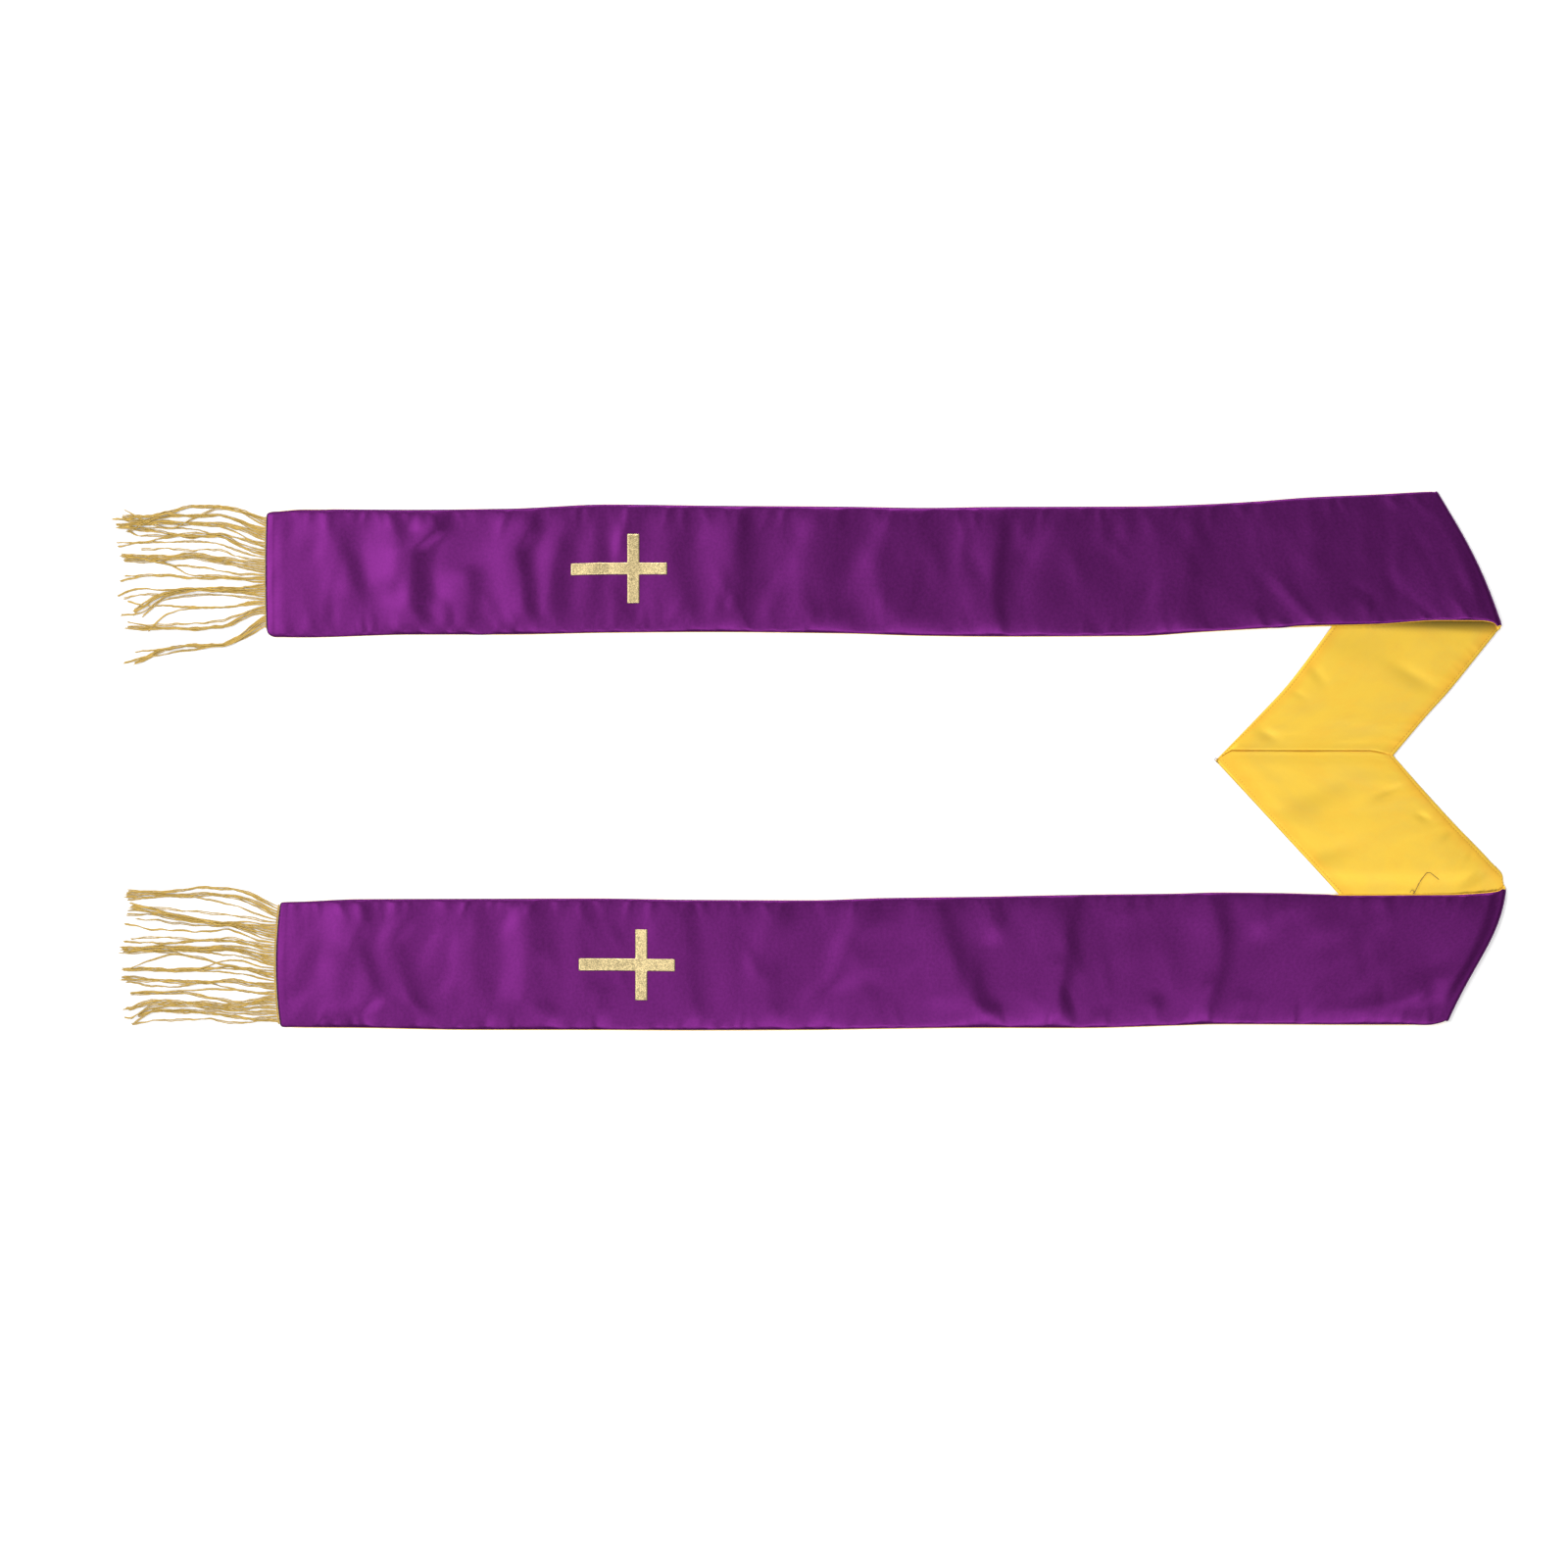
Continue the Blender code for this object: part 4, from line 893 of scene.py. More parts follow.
def purple_face(half, strip, v, cloth, seed):
    """The purple satin's outer face: the middle surface, the creases and the rolled edges."""
    x, y = strip.middle[..., 0], strip.middle[..., 1]
    down = np.broadcast_to(v if half.side > 0 else 1 - v, x.shape)
    crown = 1 - (2 * np.broadcast_to(v, x.shape) - 1) ** CROWN_POWER
    swell = CROWN * ease(strip.away / CROWN_FADE) + fold_ridge(half, strip, v) * cloth.crease
    swell = swell + creases(half.creases, x, down, cloth.crease) * ease(strip.away / CREASE_FADE)
    swell = swell * crown * ease(strip.hem / HEM_FADE)
    swell = swell + HEM_RISE * (1 - ease((strip.hem - HEM_TURN) / HEM_STEP)) * ease(strip.hem / HEM_END)
    small = puckers(strip, seed, cloth.pucker / MM, cloth.pucker_gap / MM)
    small = small + fullness(strip, seed + 2, cloth.fullness / MM) * crown
    small = small * ease(strip.away / SMALL_TURN_FADE) * ease(strip.hem / SMALL_HEM_FADE)
    under = dents(half.under_dents, x, y) * crown * (strip.part > 0) * ease(strip.seam / HEM_FADE)
    under = under * ease(strip.part / UNDER_FADE)
    points = strip.middle + strip.normal * (OUTER_FACE * edge_roll(strip))[..., None]
    points[..., 2] += swell + small + under
    for inside, way_in, amount in peeks(half, strip):
        points += (amount * (1 - ease(inside / PEEK_REACH)))[..., None] * way_in
        lift = WRAP_LIFT * np.minimum(amount / WRAP_FULL, 1.0) * (1 - ease(inside / WRAP))
        points += lift[..., None] * strip.normal
    return points


def yellow_face(half, strip, v, cloth, seed):
    """The yellow satin's outer face: creased beneath the band, soft and seamed on the neck half."""
    x, y = strip.middle[..., 0], strip.middle[..., 1]
    down = np.broadcast_to(v if half.side > 0 else 1 - v, x.shape)
    crown = 1 - (2 * np.broadcast_to(v, x.shape) - 1) ** CROWN_POWER
    on_neck = strip.part > 0
    beyond = half.side * (edge_y(half, "inner_y", x) - y)
    clear = ease((beyond - NECK_CLEAR) / NECK_RISE) * on_neck
    swell = (CROWN + dents(half.neck_dents, x, y)) * crown * ease(strip.seam / HEM_FADE)
    small = NECK_PUCKER * puckers(strip, seed + 1, cloth.pucker / MM, cloth.pucker_gap / MM)
    small = small + NECK_FULLNESS * fullness(strip, seed + 4, cloth.fullness / MM) * crown
    edge = np.minimum(strip.outer_in, strip.inner_in)
    groove = EDGE_GROOVE * np.exp(-(((edge - EDGE_STITCH) / GROOVE_WIDTH) ** 2))
    seam = seam_relief(half, strip) * ease(edge / LIP_FADE)
    drop = SEAM_DROP * (1 - rolled(strip.seam, SEAM_ROLL))
    raised = (swell + small + seam - groove) * clear - drop * on_neck
    hollow = UNDER_SHARE * creases(half.creases, x, down, cloth.crease) * crown
    raised = raised + hollow * ease(strip.away / CROWN_FADE) * ease(strip.hem / HEM_FADE)
    loft = OUTER_FACE * edge_roll(strip)
    points = strip.middle.copy()
    points[..., 2] += raised
    for inside, way_in, amount in peeks(half, strip):
        whole = np.minimum(amount / WRAP_FULL, 1.0)
        top = whole * (1 - ease(inside / WRAP))
        back = whole * np.minimum(inside, WRAP) * (1 - ease((inside - WRAP) / WRAP_BACK))
        points += (amount * top - back)[..., None] * way_in + (WRAP_LIFT * top)[..., None] * strip.normal
        loft = loft * (1 - top)
    return points - strip.normal * loft[..., None]


def seam_relief(half, strip):
    """Height by the neck seam: a lip along it, which falls away softly into the cloth."""
    lip = 1 - np.exp(-((strip.seam / SEAM_LIP_WIDTH) ** 2))
    return half.lip.height * lip * np.exp(-((strip.seam / half.lip.fade) ** 2))


def painted_hollow_shadow(half, strip):
    """How strongly each point is darkened with painted shadow, from 0 to 1: deep in the hollow beneath
    the open end of the fold, and lightly, as painted shade, in the neck's dents."""
    x, y = strip.middle[..., 0], strip.middle[..., 1]
    beyond = half.side * (edge_y(half, "inner_y", x) - y)
    opened = ease((x - half.hollow.start) / (half.hollow.end - half.hollow.start))
    past = np.maximum(beyond, 0.0) / (half.hollow.reach * opened + 0.01)
    dented = DENT_SHADE * np.clip(-dents(half.neck_dents, x, y), 0.0, 1.0)
    return np.maximum(opened * (1 - ease(past)), dented) * (strip.part > 0)


def add_piece(name, points, faces, material, uv=None, marks=None):
    """A mesh object in the row frame from points in millimetres, with named numbers on its points."""
    mesh = bpy.data.meshes.new(name)
    mesh.from_pydata(points.reshape(-1, 3) * MM, [], faces)
    if uv is not None:
        layer = mesh.uv_layers.new(name="cloth")
        corners = np.empty(len(mesh.loops), np.int32)
        mesh.loops.foreach_get("vertex_index", corners)
        layer.data.foreach_set("uv", uv.reshape(-1, 2)[corners].astype(np.float32).ravel())
    for mark, values in (marks or {}).items():
        attribute = mesh.attributes.new(mark, "FLOAT", "POINT")
        attribute.data.foreach_set("value", values.astype(np.float32).ravel())
    mesh.shade_smooth()
    mesh.materials.append(material)
    mesh.validate()
    piece = bpy.data.objects.new(name, mesh)
    bpy.context.scene.collection.objects.link(piece)
    return piece


def grid_faces(rows, columns, turned):
    """A quad for each cell of a grid of points, the other way round where turned is true."""
    index = np.arange(rows * columns).reshape(rows, columns)
    quads = np.stack([index[:-1, :-1], index[1:, :-1], index[1:, 1:], index[:-1, 1:]], axis=-1)
    return (quads[..., ::-1] if turned else quads).reshape(-1, 4)


def add_cloth(name, points, strip, faces_up, material, thickness, hollow):
    """A sheet of satin over a grid of points, given its thickness inwards and marked with its distances
    in metres to the nearest sewn edge, the neck seam and the hem, and with its hollow's painted shadow."""
    uv = np.stack([strip.outer_in, strip.run], axis=-1) * MM
    rim = np.minimum(strip.outer_in, strip.inner_in)
    marks = {"rim": rim * MM, "seam": strip.seam * MM, "hem": strip.hem * MM, "hollow": hollow}
    piece = add_piece(name, points, grid_faces(*points.shape[:2], faces_up), material, uv, marks)
    wall = piece.modifiers.new("wall", "SOLIDIFY")
    wall.thickness = thickness
    wall.offset = -1.0
    return piece


class Value:
    """A shader socket that adds Math nodes when it is reckoned with."""

    def __init__(self, finish, socket):
        self.finish = finish
        self.socket = socket

    def _with(self, operation, *values):
        node = self.finish.add("ShaderNodeMath", {"operation": operation}, dict(enumerate(values)))
        return Value(self.finish, node.outputs[0])

    def __add__(self, other):
        return self._with("ADD", self, other)

    __radd__ = __add__

    def __sub__(self, other):
        return self._with("SUBTRACT", self, other)

    def __rsub__(self, other):
        return self._with("SUBTRACT", other, self)

    def __mul__(self, other):
        return self._with("MULTIPLY", self, other)

    __rmul__ = __mul__

    def __pow__(self, other):
        return self._with("POWER", self, other)

    def sine(self):
        return self._with("SINE", self)

    def floor(self):
        return self._with("FLOOR", self)

    def clamped(self):
        """Held between 0 and 1."""
        return self._with("MAXIMUM", self._with("MINIMUM", self, 1.0), 0.0)


class Finish:
    """The nodes of one material."""

    def __init__(self, name, roughness, metallic=0.0, **constants):
        self.material = bpy.data.materials.new(name)
        self.material.use_nodes = True
        self.nodes = self.material.node_tree.nodes
        self.links = self.material.node_tree.links
        self.shader = self.nodes["Principled BSDF"]
        self.shader.inputs["Roughness"].default_value = roughness
        self.shader.inputs["Metallic"].default_value = metallic
        for socket, value in constants.items():
            self.shader.inputs[socket.replace("_", " ")].default_value = value

    def add(self, kind, settings=None, values=None):
        """Any node: its type, its settings, and the values or links of its sockets."""
        node = self.nodes.new(kind)
        for key, value in (settings or {}).items():
            setattr(node, key, value)
        for key, value in (values or {}).items():
            if isinstance(value, Value):
                self.links.new(value.socket, node.inputs[key])
            elif value is not None:
                node.inputs[key].default_value = value
        return node

    def value(self, node, output=0):
        return Value(self, node.outputs[output])

    def cloth_place(self):
        """Place on the cut cloth, in metres across and along it."""
        return self.value(self.add("ShaderNodeUVMap", {"uv_map": "cloth"}))

    def object_place(self):
        return self.value(self.add("ShaderNodeTexCoord"), "Object")

    def mark(self, name):
        """A named number that the mesh carries on its points."""
        return self.value(self.add("ShaderNodeAttribute", {"attribute_name": name}), "Fac")

    def near(self, name, reach):
        """1 where the named number is 0, down to 0 where it is at its reach."""
        return (1.0 - self.mark(name) * (1 / reach)).clamped()

    def stretched(self, place, scale):
        node = self.add("ShaderNodeMapping", {}, {"Vector": place, "Scale": scale})
        return self.value(node)

    def parts(self, place):
        node = self.add("ShaderNodeSeparateXYZ", {}, {0: place})
        return self.value(node, "X"), self.value(node, "Y"), self.value(node, "Z")

    def noise(self, place, size, detail=2.0, roughness=0.5):
        """Soft noise from 0 to 1 with features about size metres across."""
        values = {"Vector": place, "Scale": 1 / size, "Detail": detail, "Roughness": roughness}
        return self.value(self.add("ShaderNodeTexNoise", {}, values), "Fac")

    def mixed(self, factor, first, second):
        """One colour into another by a factor from 0 to 1."""
        settings = {"data_type": "RGBA"}
        node = self.add("ShaderNodeMix", settings, {0: factor, 6: opaque(first), 7: opaque(second)})
        return self.value(node, 2)

    def bump(self, height, distance, strength=1.0, under=None):
        values = {"Height": height, "Distance": distance, "Strength": strength, "Normal": under}
        return self.value(self.add("ShaderNodeBump", {}, values))

    def set(self, **inputs):
        """Link what varies over the surface to the shader."""
        for socket, value in inputs.items():
            self.links.new(value.socket, self.shader.inputs[socket.replace("_", " ")])
        return self.material


def opaque(shade):
    """A colour with its alpha, or a socket as it is."""
    return shade if isinstance(shade, Value) else (*tuple(shade)[:3], 1.0)


def scaled(shade, amount):
    """A colour, lighter or darker."""
    return tuple(min(1.0, part * amount) for part in shade)


def satin(finish, pitch, slub_size, strength):
    """The satin's place on the cloth, the height of its weave and its bump: long floats along the
    cloth, each tied down once in five threads, a step further along on the next one, and slubs."""
    place = finish.cloth_place()
    across, along, _ = finish.parts(place)
    column = across * (1 / pitch)
    round_thread = (column * math.pi).sine() * (column * math.pi).sine()
    tie = (along * (2 * math.pi / (5 * pitch)) + column.floor() * (4 * math.pi / 5)).sine()
    weave = round_thread * (1.0 - (tie.clamped() ** 8.0) * 0.8)
    slub = finish.noise(finish.stretched(place, (1.0, 0.15, 1.0)), slub_size, 3.0)
    return place, weave, finish.bump(weave * 0.6 + slub, 0.00005, strength)


def purple_satin(colours, cloth):
    finish = Finish("purple satin", 0.5, 0.85, Specular_IOR_Level=0.1)
    place, weave, relief = satin(finish, cloth.thread, 0.0016, 0.25)
    broad = finish.noise(place, 0.05, 2.0)
    speck = finish.noise(place, 0.0028, 3.0, 0.65)
    lustre = (broad - 0.5) * 0.5 + (speck - 0.5) * 2.2 + 0.5
    base = finish.mixed(lustre.clamped(), scaled(colours.purple, 0.84), scaled(colours.purple, 1.18))
    tone = finish.mixed((weave * 0.2).clamped(), base, colours.purple_sheen)
    tone = finish.mixed(finish.near("hem", 0.0022) * 0.7, tone, scaled(colours.purple, 0.25))
    return finish.set(Base_Color=tone, Roughness=0.39 + speck * 0.08, Normal=relief)


def yellow_satin(colours, cloth):
    finish = Finish("yellow satin", 0.45, 0.4, Specular_IOR_Level=0.2)
    place, weave, relief = satin(finish, cloth.thread, 0.0018, 0.3)
    broad = finish.noise(place, 0.03, 2.0)
    speck = finish.noise(place, 0.0035, 3.0, 0.65)
    rim = finish.mark("rim")
    allowance = (1.6 - rim * (1 / 0.009)).clamped() * (rim * 500.0 - 0.6).clamped()
    # Painted shade along the groove of the neck seam, broken up by the broad noise
    seam = finish.near("seam", 0.0014) * broad * 0.9
    depth = ((broad - 0.45) * 0.6 + (speck - 0.5) * 0.4 + allowance * 0.4 + seam).clamped()
    shade = ((finish.noise(place, 0.04, 3.0, 0.6) - 0.5) * 2.4 + 0.2).clamped()
    base = finish.mixed(shade, colours.yellow, colours.yellow_dull)
    base = finish.mixed(depth, base, colours.yellow_deep)
    # Painted shadow in the hollow beneath the fold's open end, and painted shade in the neck's dents, towards
    # a dark dull yellow
    base = finish.mixed(finish.mark("hollow"), base, scaled(colours.yellow_dull, 0.2))
    # Painted sheen: the crowns of the satin's threads a little lighter
    tone = finish.mixed((weave * 0.12).clamped(), base, scaled(colours.yellow, 1.06))
    return finish.set(Base_Color=tone, Roughness=0.4 + speck * 0.1, Normal=relief)


def gold_foil(colours):
    finish = Finish("gold foil", 0.4, 0.75)
    place = finish.object_place()
    grain = finish.noise(place, 0.0009, 2.0, 0.7)
    fleck = finish.noise(place, 0.003, 2.0, 0.6)
    blotch = finish.noise(place, 0.012, 3.0)
    rim = finish.near("rim", 0.0014)
    light = ((grain - 0.5) * 4.0 + (fleck - 0.5) * 1.0 + rim * 0.3 + 0.45).clamped()
    tone = finish.mixed(light, scaled(colours.foil, 0.5), scaled(colours.foil, 1.4))
    relief = finish.bump(grain + fleck, 0.0002, 0.5)
    return finish.set(Base_Color=tone, Roughness=0.34 + blotch * 0.16, Normal=relief)


def gold_yarn(colours):
    finish = Finish("gold yarn", 0.5, 0.25)
    place = finish.object_place()
    fibre = finish.noise(finish.stretched(place, (0.4, 1.0, 1.0)), 0.0005, 3.0, 0.65)
    patch = finish.noise(place, 0.01, 2.0)
    # Painted light and shade: each yarn lighter on its top, darker down its sides and in the grooves between
    # its lobes
    raised = finish.mark("top") ** 3.0
    light = (finish.mark("ply") * 0.15 + raised * 0.85) * (fibre * 0.4 + patch * 0.5 + 0.55)
    tone = finish.mixed(light.clamped(), colours.yarn_shade, colours.yarn)
    relief = finish.bump(fibre, 0.00015, 0.6)
    return finish.set(Base_Color=tone, Roughness=0.42 + fibre * 0.2, Normal=relief)


def sewing_thread(name, shade):
    finish = Finish(name, 0.6)
    fibre = finish.noise(finish.object_place(), 0.0003, 2.0)
    tone = finish.mixed(fibre, scaled(shade, 0.7), scaled(shade, 1.2))
    return finish.set(Base_Color=tone, Normal=finish.bump(fibre, 0.0001, 0.5))


def table_top(colours, glow):
    white = (1.0, 1.0, 1.0, 1.0)
    constants = dict(Specular_IOR_Level=0.1, Emission_Color=white, Emission_Strength=glow)
    finish = Finish("plain table", 0.85, 0.0, **constants)
    grain = finish.noise(finish.object_place(), 0.02, 2.0)
    tone = finish.mixed(grain, scaled(colours.floor, 0.99), scaled(colours.floor, 1.01))
    return finish.set(Base_Color=tone)


def tube_rings(path, radius, sides, lobes=0.0, turns=None):
    """Rings of a tube carried along a path: a round section, with two lobes where asked, set
    square to the path and kept upright. Ring by side by XYZ, and how high each point is on its
    lobe and on its ring, from 0 to 1."""
    tangent = np.gradient(path, axis=-2)
    tangent = tangent / np.maximum(np.linalg.norm(tangent, axis=-1, keepdims=True), 1e-9)
    side = np.cross(tangent, np.array([0.0, 0.0, 1.0]))
    side = side / np.maximum(np.linalg.norm(side, axis=-1, keepdims=True), 1e-9)
    lift = np.cross(side, tangent)
    angle = np.arange(sides) * (2 * math.pi / sides)
    wave = np.zeros(np.shape(radius) + (sides,))
    if turns is not None:
        wave = np.cos(2 * (angle - 2 * math.pi * turns[..., None]))
    size = (np.asarray(radius)[..., None] * (1 + lobes * wave))[..., None]
    flat = np.cos(angle)[:, None] * side[..., None, :] + np.sin(angle)[:, None] * lift[..., None, :]
    top = np.broadcast_to((1 + np.sin(angle)) / 2, wave.shape)
    return path[..., None, :] + size * flat, (1 + wave) / 2, top


def tube_faces(rings, sides, first=0):
    """Quads round each pair of rings, and a cap of triangles at each end from its first point."""
    index = first + np.arange(rings * sides).reshape(rings, sides)
    around = np.roll(index, -1, axis=1)
    quads = np.stack([index[:-1], around[:-1], around[1:], index[1:]], axis=-1).reshape(-1, 4)
    fan = [[0, k + 1, k] for k in range(1, sides - 1)]
    caps = np.concatenate([index[0][np.array(fan)], index[-1][np.array(fan)][:, ::-1]])
    return quads.tolist() + caps.tolist()


def gathered(tubes, sides):
    """Several tubes as one set of points, faces and marks."""
    points, faces, first = [], [], 0
    for rings, _, _ in tubes:
        points.append(rings.reshape(-1, 3))
        faces += tube_faces(len(rings), sides, first)
        first += rings.shape[0] * sides
    names = ((1, "ply"), (2, "top"))
    marks = {name: np.concatenate([tube[k].ravel() for tube in tubes]) for k, name in names}
    return np.concatenate(points), faces, marks


def hem_x(half, y):
    """The hem's bowed edge in plan."""
    first = half.edges[0]
    part = (y - first.outer_y) / (first.inner_y - first.outer_y)
    return first.x - half.hem_bow * (1 - (2 * part - 1) ** 2)


def waviness(away, dice):
    """Three small waves across a strand, the shortest the lowest."""
    total = np.zeros_like(away)
    for height, *lengths in WAVES:
        size = height * dice.uniform(*WAVE_SHARE)
        turn = 2 * math.pi / dice.uniform(*lengths)
        total += size * np.sin(away * turn + dice.uniform(*ANY_PHASE))
    return total


def strand_paths(half, yarn, dice):
    """The line of each strand, from its root at the hem to its tip.

    A strand keeps its place across its lock, and has small waves of its own. The roots are evenly
    spaced along the hem, and each strand leaves its root for its route by a smooth step. Where it
    would come too near one already laid, it lies on top of it.
    """
    first = half.edges[0]
    away = np.arange(0.0, max(lock.reach for lock in half.locks) + ROUTE_STEP, ROUTE_STEP)
    strands = []
    for lock in half.locks:
        centre = through(ROUTE_AT, lock.route, away)
        width = through(WIDTH_AT, lock.widths, away)
        for k in range(lock.strands):
            share = (k + 0.5) / lock.strands - 0.5
            y = centre - width * share + waviness(away, dice) * ease(away / WAVE_BLEND)
            reach = lock.reach - TIP_UNEVEN * dice.uniform() ** 2
            strands.append({"y": y, "reach": reach, "layer": lock.layer})
    strands.sort(key=lambda strand: -strand["y"][0])
    top = max(first.outer_y, first.inner_y) - STRIP_INSET
    bottom = min(first.outer_y, first.inner_y) + STRIP_INSET
    pitch = (top - bottom) / len(strands)
    near = yarn * STRAND_NEAR
    laid = []
    for number, strand in enumerate(strands):
        root = top - pitch * (number + 0.5)
        strand["y"] += (root - strand["y"][0]) * (1 - ease(away / ROOT_BLEND))
    for strand in sorted(strands, key=lambda strand: strand["layer"]):
        low = yarn * STRAND_FLOOR
        floor = low + (ROOT_HEIGHT - low) * np.exp(-away / ROOT_DROP)
        z = floor.copy()
        for other in laid:
            apart = np.abs(strand["y"] - other["y"])
            over = other["z"] + np.sqrt(np.maximum(near**2 - np.minimum(apart, near) ** 2, 0.0)) * STACK_RISE
            z = np.where(apart < near, np.maximum(z, over), z)
        z = np.minimum(z, floor + STACK_MOST * ease(away / ROOT_DROP))
        for _ in range(4):
            z[1:-1] = (z[:-2] + z[1:-1] + z[2:]) / 3
        strand["z"] = z
        laid.append(strand)
    lines = []
    for strand in strands:
        distance = np.linspace(0.0, strand["reach"], round(strand["reach"] / RING_STEP))
        y = through(away, strand["y"], distance)
        z = through(away, strand["z"], distance)
        x = hem_x(half, strand["y"][0]) - SEAM_GAP - distance
        lines.append(np.stack([x, y, z], axis=-1))
    return lines


def fringe_mesh(half, trim, dice):
    """Strands of two loosely twisted yarns, and the heading they hang from: one or two cords side by
    side along the hem."""
    yarn = trim.yarn / MM
    twist = trim.twist / MM
    tubes = []
    for line in strand_paths(half, yarn, dice):
        length = np.concatenate([[0.0], np.cumsum(np.linalg.norm(np.diff(line, axis=0), axis=-1))])
        phase = length * (2 * math.pi / (twist * dice.uniform(*PLY_TURNS))) + dice.uniform(*ANY_PHASE)
        full = np.exp(-((length / ROOT_FULL) ** 2))
        spread = dice.uniform(*PLY_SPREAD) * ease(length / WAVE_BLEND)
        apart = yarn * (PLY_APART + ROOT_APART * full + spread)
        for sign in (-1, 1):
            ply = line.copy()
            ply[:, 1] += sign * apart * np.cos(phase)
            ply[:, 2] += sign * PLY_HEIGHT * yarn * np.sin(phase)
            size = yarn * (PLY_RADIUS + ROOT_RADIUS * full) * dice.uniform(*PLY_UNEVEN)
            taper = np.minimum(1.0, 0.5 + (length[-1] - length) / 4)
            end = len(ply) - int(dice.uniform(0, 3))
            turns = length / twist + dice.uniform(0, 1)
            tubes.append(tube_rings(ply[:end], (size * taper)[:end], STRAND_SIDES, PLY_LOBES, turns[:end]))
    first = half.edges[0]
    inset = half.side * HEADING_INSET
    y = np.linspace(first.outer_y - inset, first.inner_y + inset, HEADING_POINTS)
    for cord in range(half.cords):
        z = ROOT_HEIGHT + HEADING_WAVE * np.sin(np.arange(len(y)) * HEADING_WAVE_STEP + cord)
        line = np.stack([hem_x(half, y) - SEAM_GAP - HEADING_CORD * (cord + 0.5), y, z], axis=-1)
        turns = np.abs(y - y[0]) / (HEADING_TWIST * twist)
        tubes.append(tube_rings(line, np.full(len(y), HEADING_CORD / 2), STRAND_SIDES, HEADING_LOBES, turns))
    return gathered(tubes, STRAND_SIDES)


def even_steps(stops, size):
    """Places from the first stop to the last one, in even steps of about size between the stops."""
    steps = [np.linspace(a, b, round((b - a) / size) + 1)[:-1] for a, b in zip(stops, stops[1:])]
    return np.append(np.concatenate(steps), stops[-1])


def cross_mesh(half, cloth, lift, seed):
    """The cross's foil: a grid over the purple face, moved out, and cut to two crossing bars."""
    foot = CROSS_FOOT
    stops = np.cumsum([0.0, foot, CROSS_BAR, CROSS_HEAD])
    along = even_steps(stops, CROSS_CELL)
    aside = even_steps([-CROSS_SPAN / 2, -CROSS_BAR / 2, CROSS_BAR / 2, CROSS_SPAN / 2], CROSS_CELL)
    v = 0.5 + aside / BAND_WIDTH
    strip = band_rows(half, half.cross_x + along, v)
    points = purple_face(half, strip, v, cloth, seed)
    points[..., 2] += lift
    rows, columns = points.shape[:2]
    faces = grid_faces(rows, columns, half.side > 0)
    mid_along = (along[:-1] + along[1:]) / 2
    mid_aside = (aside[:-1] + aside[1:]) / 2
    on_foot = np.abs(mid_aside)[None, :] < CROSS_BAR / 2
    on_bar = ((mid_along > foot) & (mid_along < foot + CROSS_BAR))[:, None]
    kept = (on_foot | on_bar).ravel()
    faces = faces[kept]
    used, compact = np.unique(faces, return_inverse=True)
    bar = np.minimum(CROSS_BAR / 2 - np.abs(aside)[None, :], np.minimum(along, stops[-1] - along)[:, None])
    arm_in = np.minimum(along - foot, foot + CROSS_BAR - along)[:, None]
    arm = np.minimum(arm_in, (CROSS_SPAN / 2 - np.abs(aside))[None, :])
    rim = np.maximum(bar, arm).ravel()[used] * MM
    return points.reshape(-1, 3)[used], compact.reshape(-1, 4), {"rim": rim}


def stitches(path, pitch, thread):
    """Dashes of thread along a path: short tubes with rounded ends, one to a pitch."""
    gaps = np.linalg.norm(np.diff(path, axis=0), axis=-1)
    length = np.concatenate([[0.0], np.cumsum(gaps)])
    starts = np.arange(0.3 * pitch, length[-1] - pitch, pitch)
    at = starts[:, None] + (STITCH_AT * STITCH_SHARE)[None, :] * pitch
    line = np.stack([np.interp(at, length, path[:, axis]) for axis in range(3)], axis=-1)
    line[..., 2] += STITCH_ARCH - STITCH_SUNK
    taper = STITCH_TAPER * thread / 2
    rings, ply, top = tube_rings(line, np.broadcast_to(taper, at.shape), THREAD_SIDES)
    return list(zip(rings, ply, top))


def loose_tubes(thread):
    """The loose brown thread on the yellow neck, its tangle, and the knots at the seam's outer point."""
    tubes = []
    for row in LOOSE_THREADS:
        points = np.array(row)
        stations = np.arange(len(points)) * 1.0
        at = np.linspace(0.0, stations[-1], 20 * len(points))
        line = np.stack([through(stations, points[:, axis], at) for axis in range(3)], axis=-1)
        tubes.append(tube_rings(line, np.full(len(line), 0.5 * thread), THREAD_SIDES))
    return tubes


def stole():
    """The scene's settings for the stole."""
    return bpy.context.scene.stole


class StoleSettings(PropertyGroup):
    cloth: PointerProperty(type=StoleCloth, name="Cloth", description="Sizes of the satin")
    trim: PointerProperty(type=StoleTrim, name="Trim", description="Sizes of the fringe, foil and sewing")
    colours: PointerProperty(type=StoleColours, name="Colours", description="Colours of the pieces")
    light: PointerProperty(type=StoleLight, name="Light", description="Light and camera")


def halves():
    """Each half with the seed of its small puckers."""
    seed = stole().trim.seed
    return ((UPPER, seed), (LOWER, seed + 10))


def settle(piece, node):
    """Put a piece in the stole in place of its plain solid."""
    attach(piece, BODY)
    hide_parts(node)
    return piece


class STOLE_OT_crosses(Operator):
    """Lay the gold foil crosses on the purple bands."""

    bl_idname = "stole.crosses"
    bl_label = "Foil crosses"

    def execute(self, context):
        settings = stole()
        material = gold_foil(settings.colours)
        thickness = settings.trim.foil
        for half, seed in halves():
            points, faces, marks = cross_mesh(half, settings.cloth, FOIL_LIFT + thickness / MM, seed)
            piece = add_piece(f"foil_cross_{half.name}", points, faces, material, None, marks)
            wall = piece.modifiers.new("foil", "SOLIDIFY")
            wall.thickness = thickness
            wall.offset = -1.0
            settle(piece, f"cross_{half.name}")
        return {"FINISHED"}


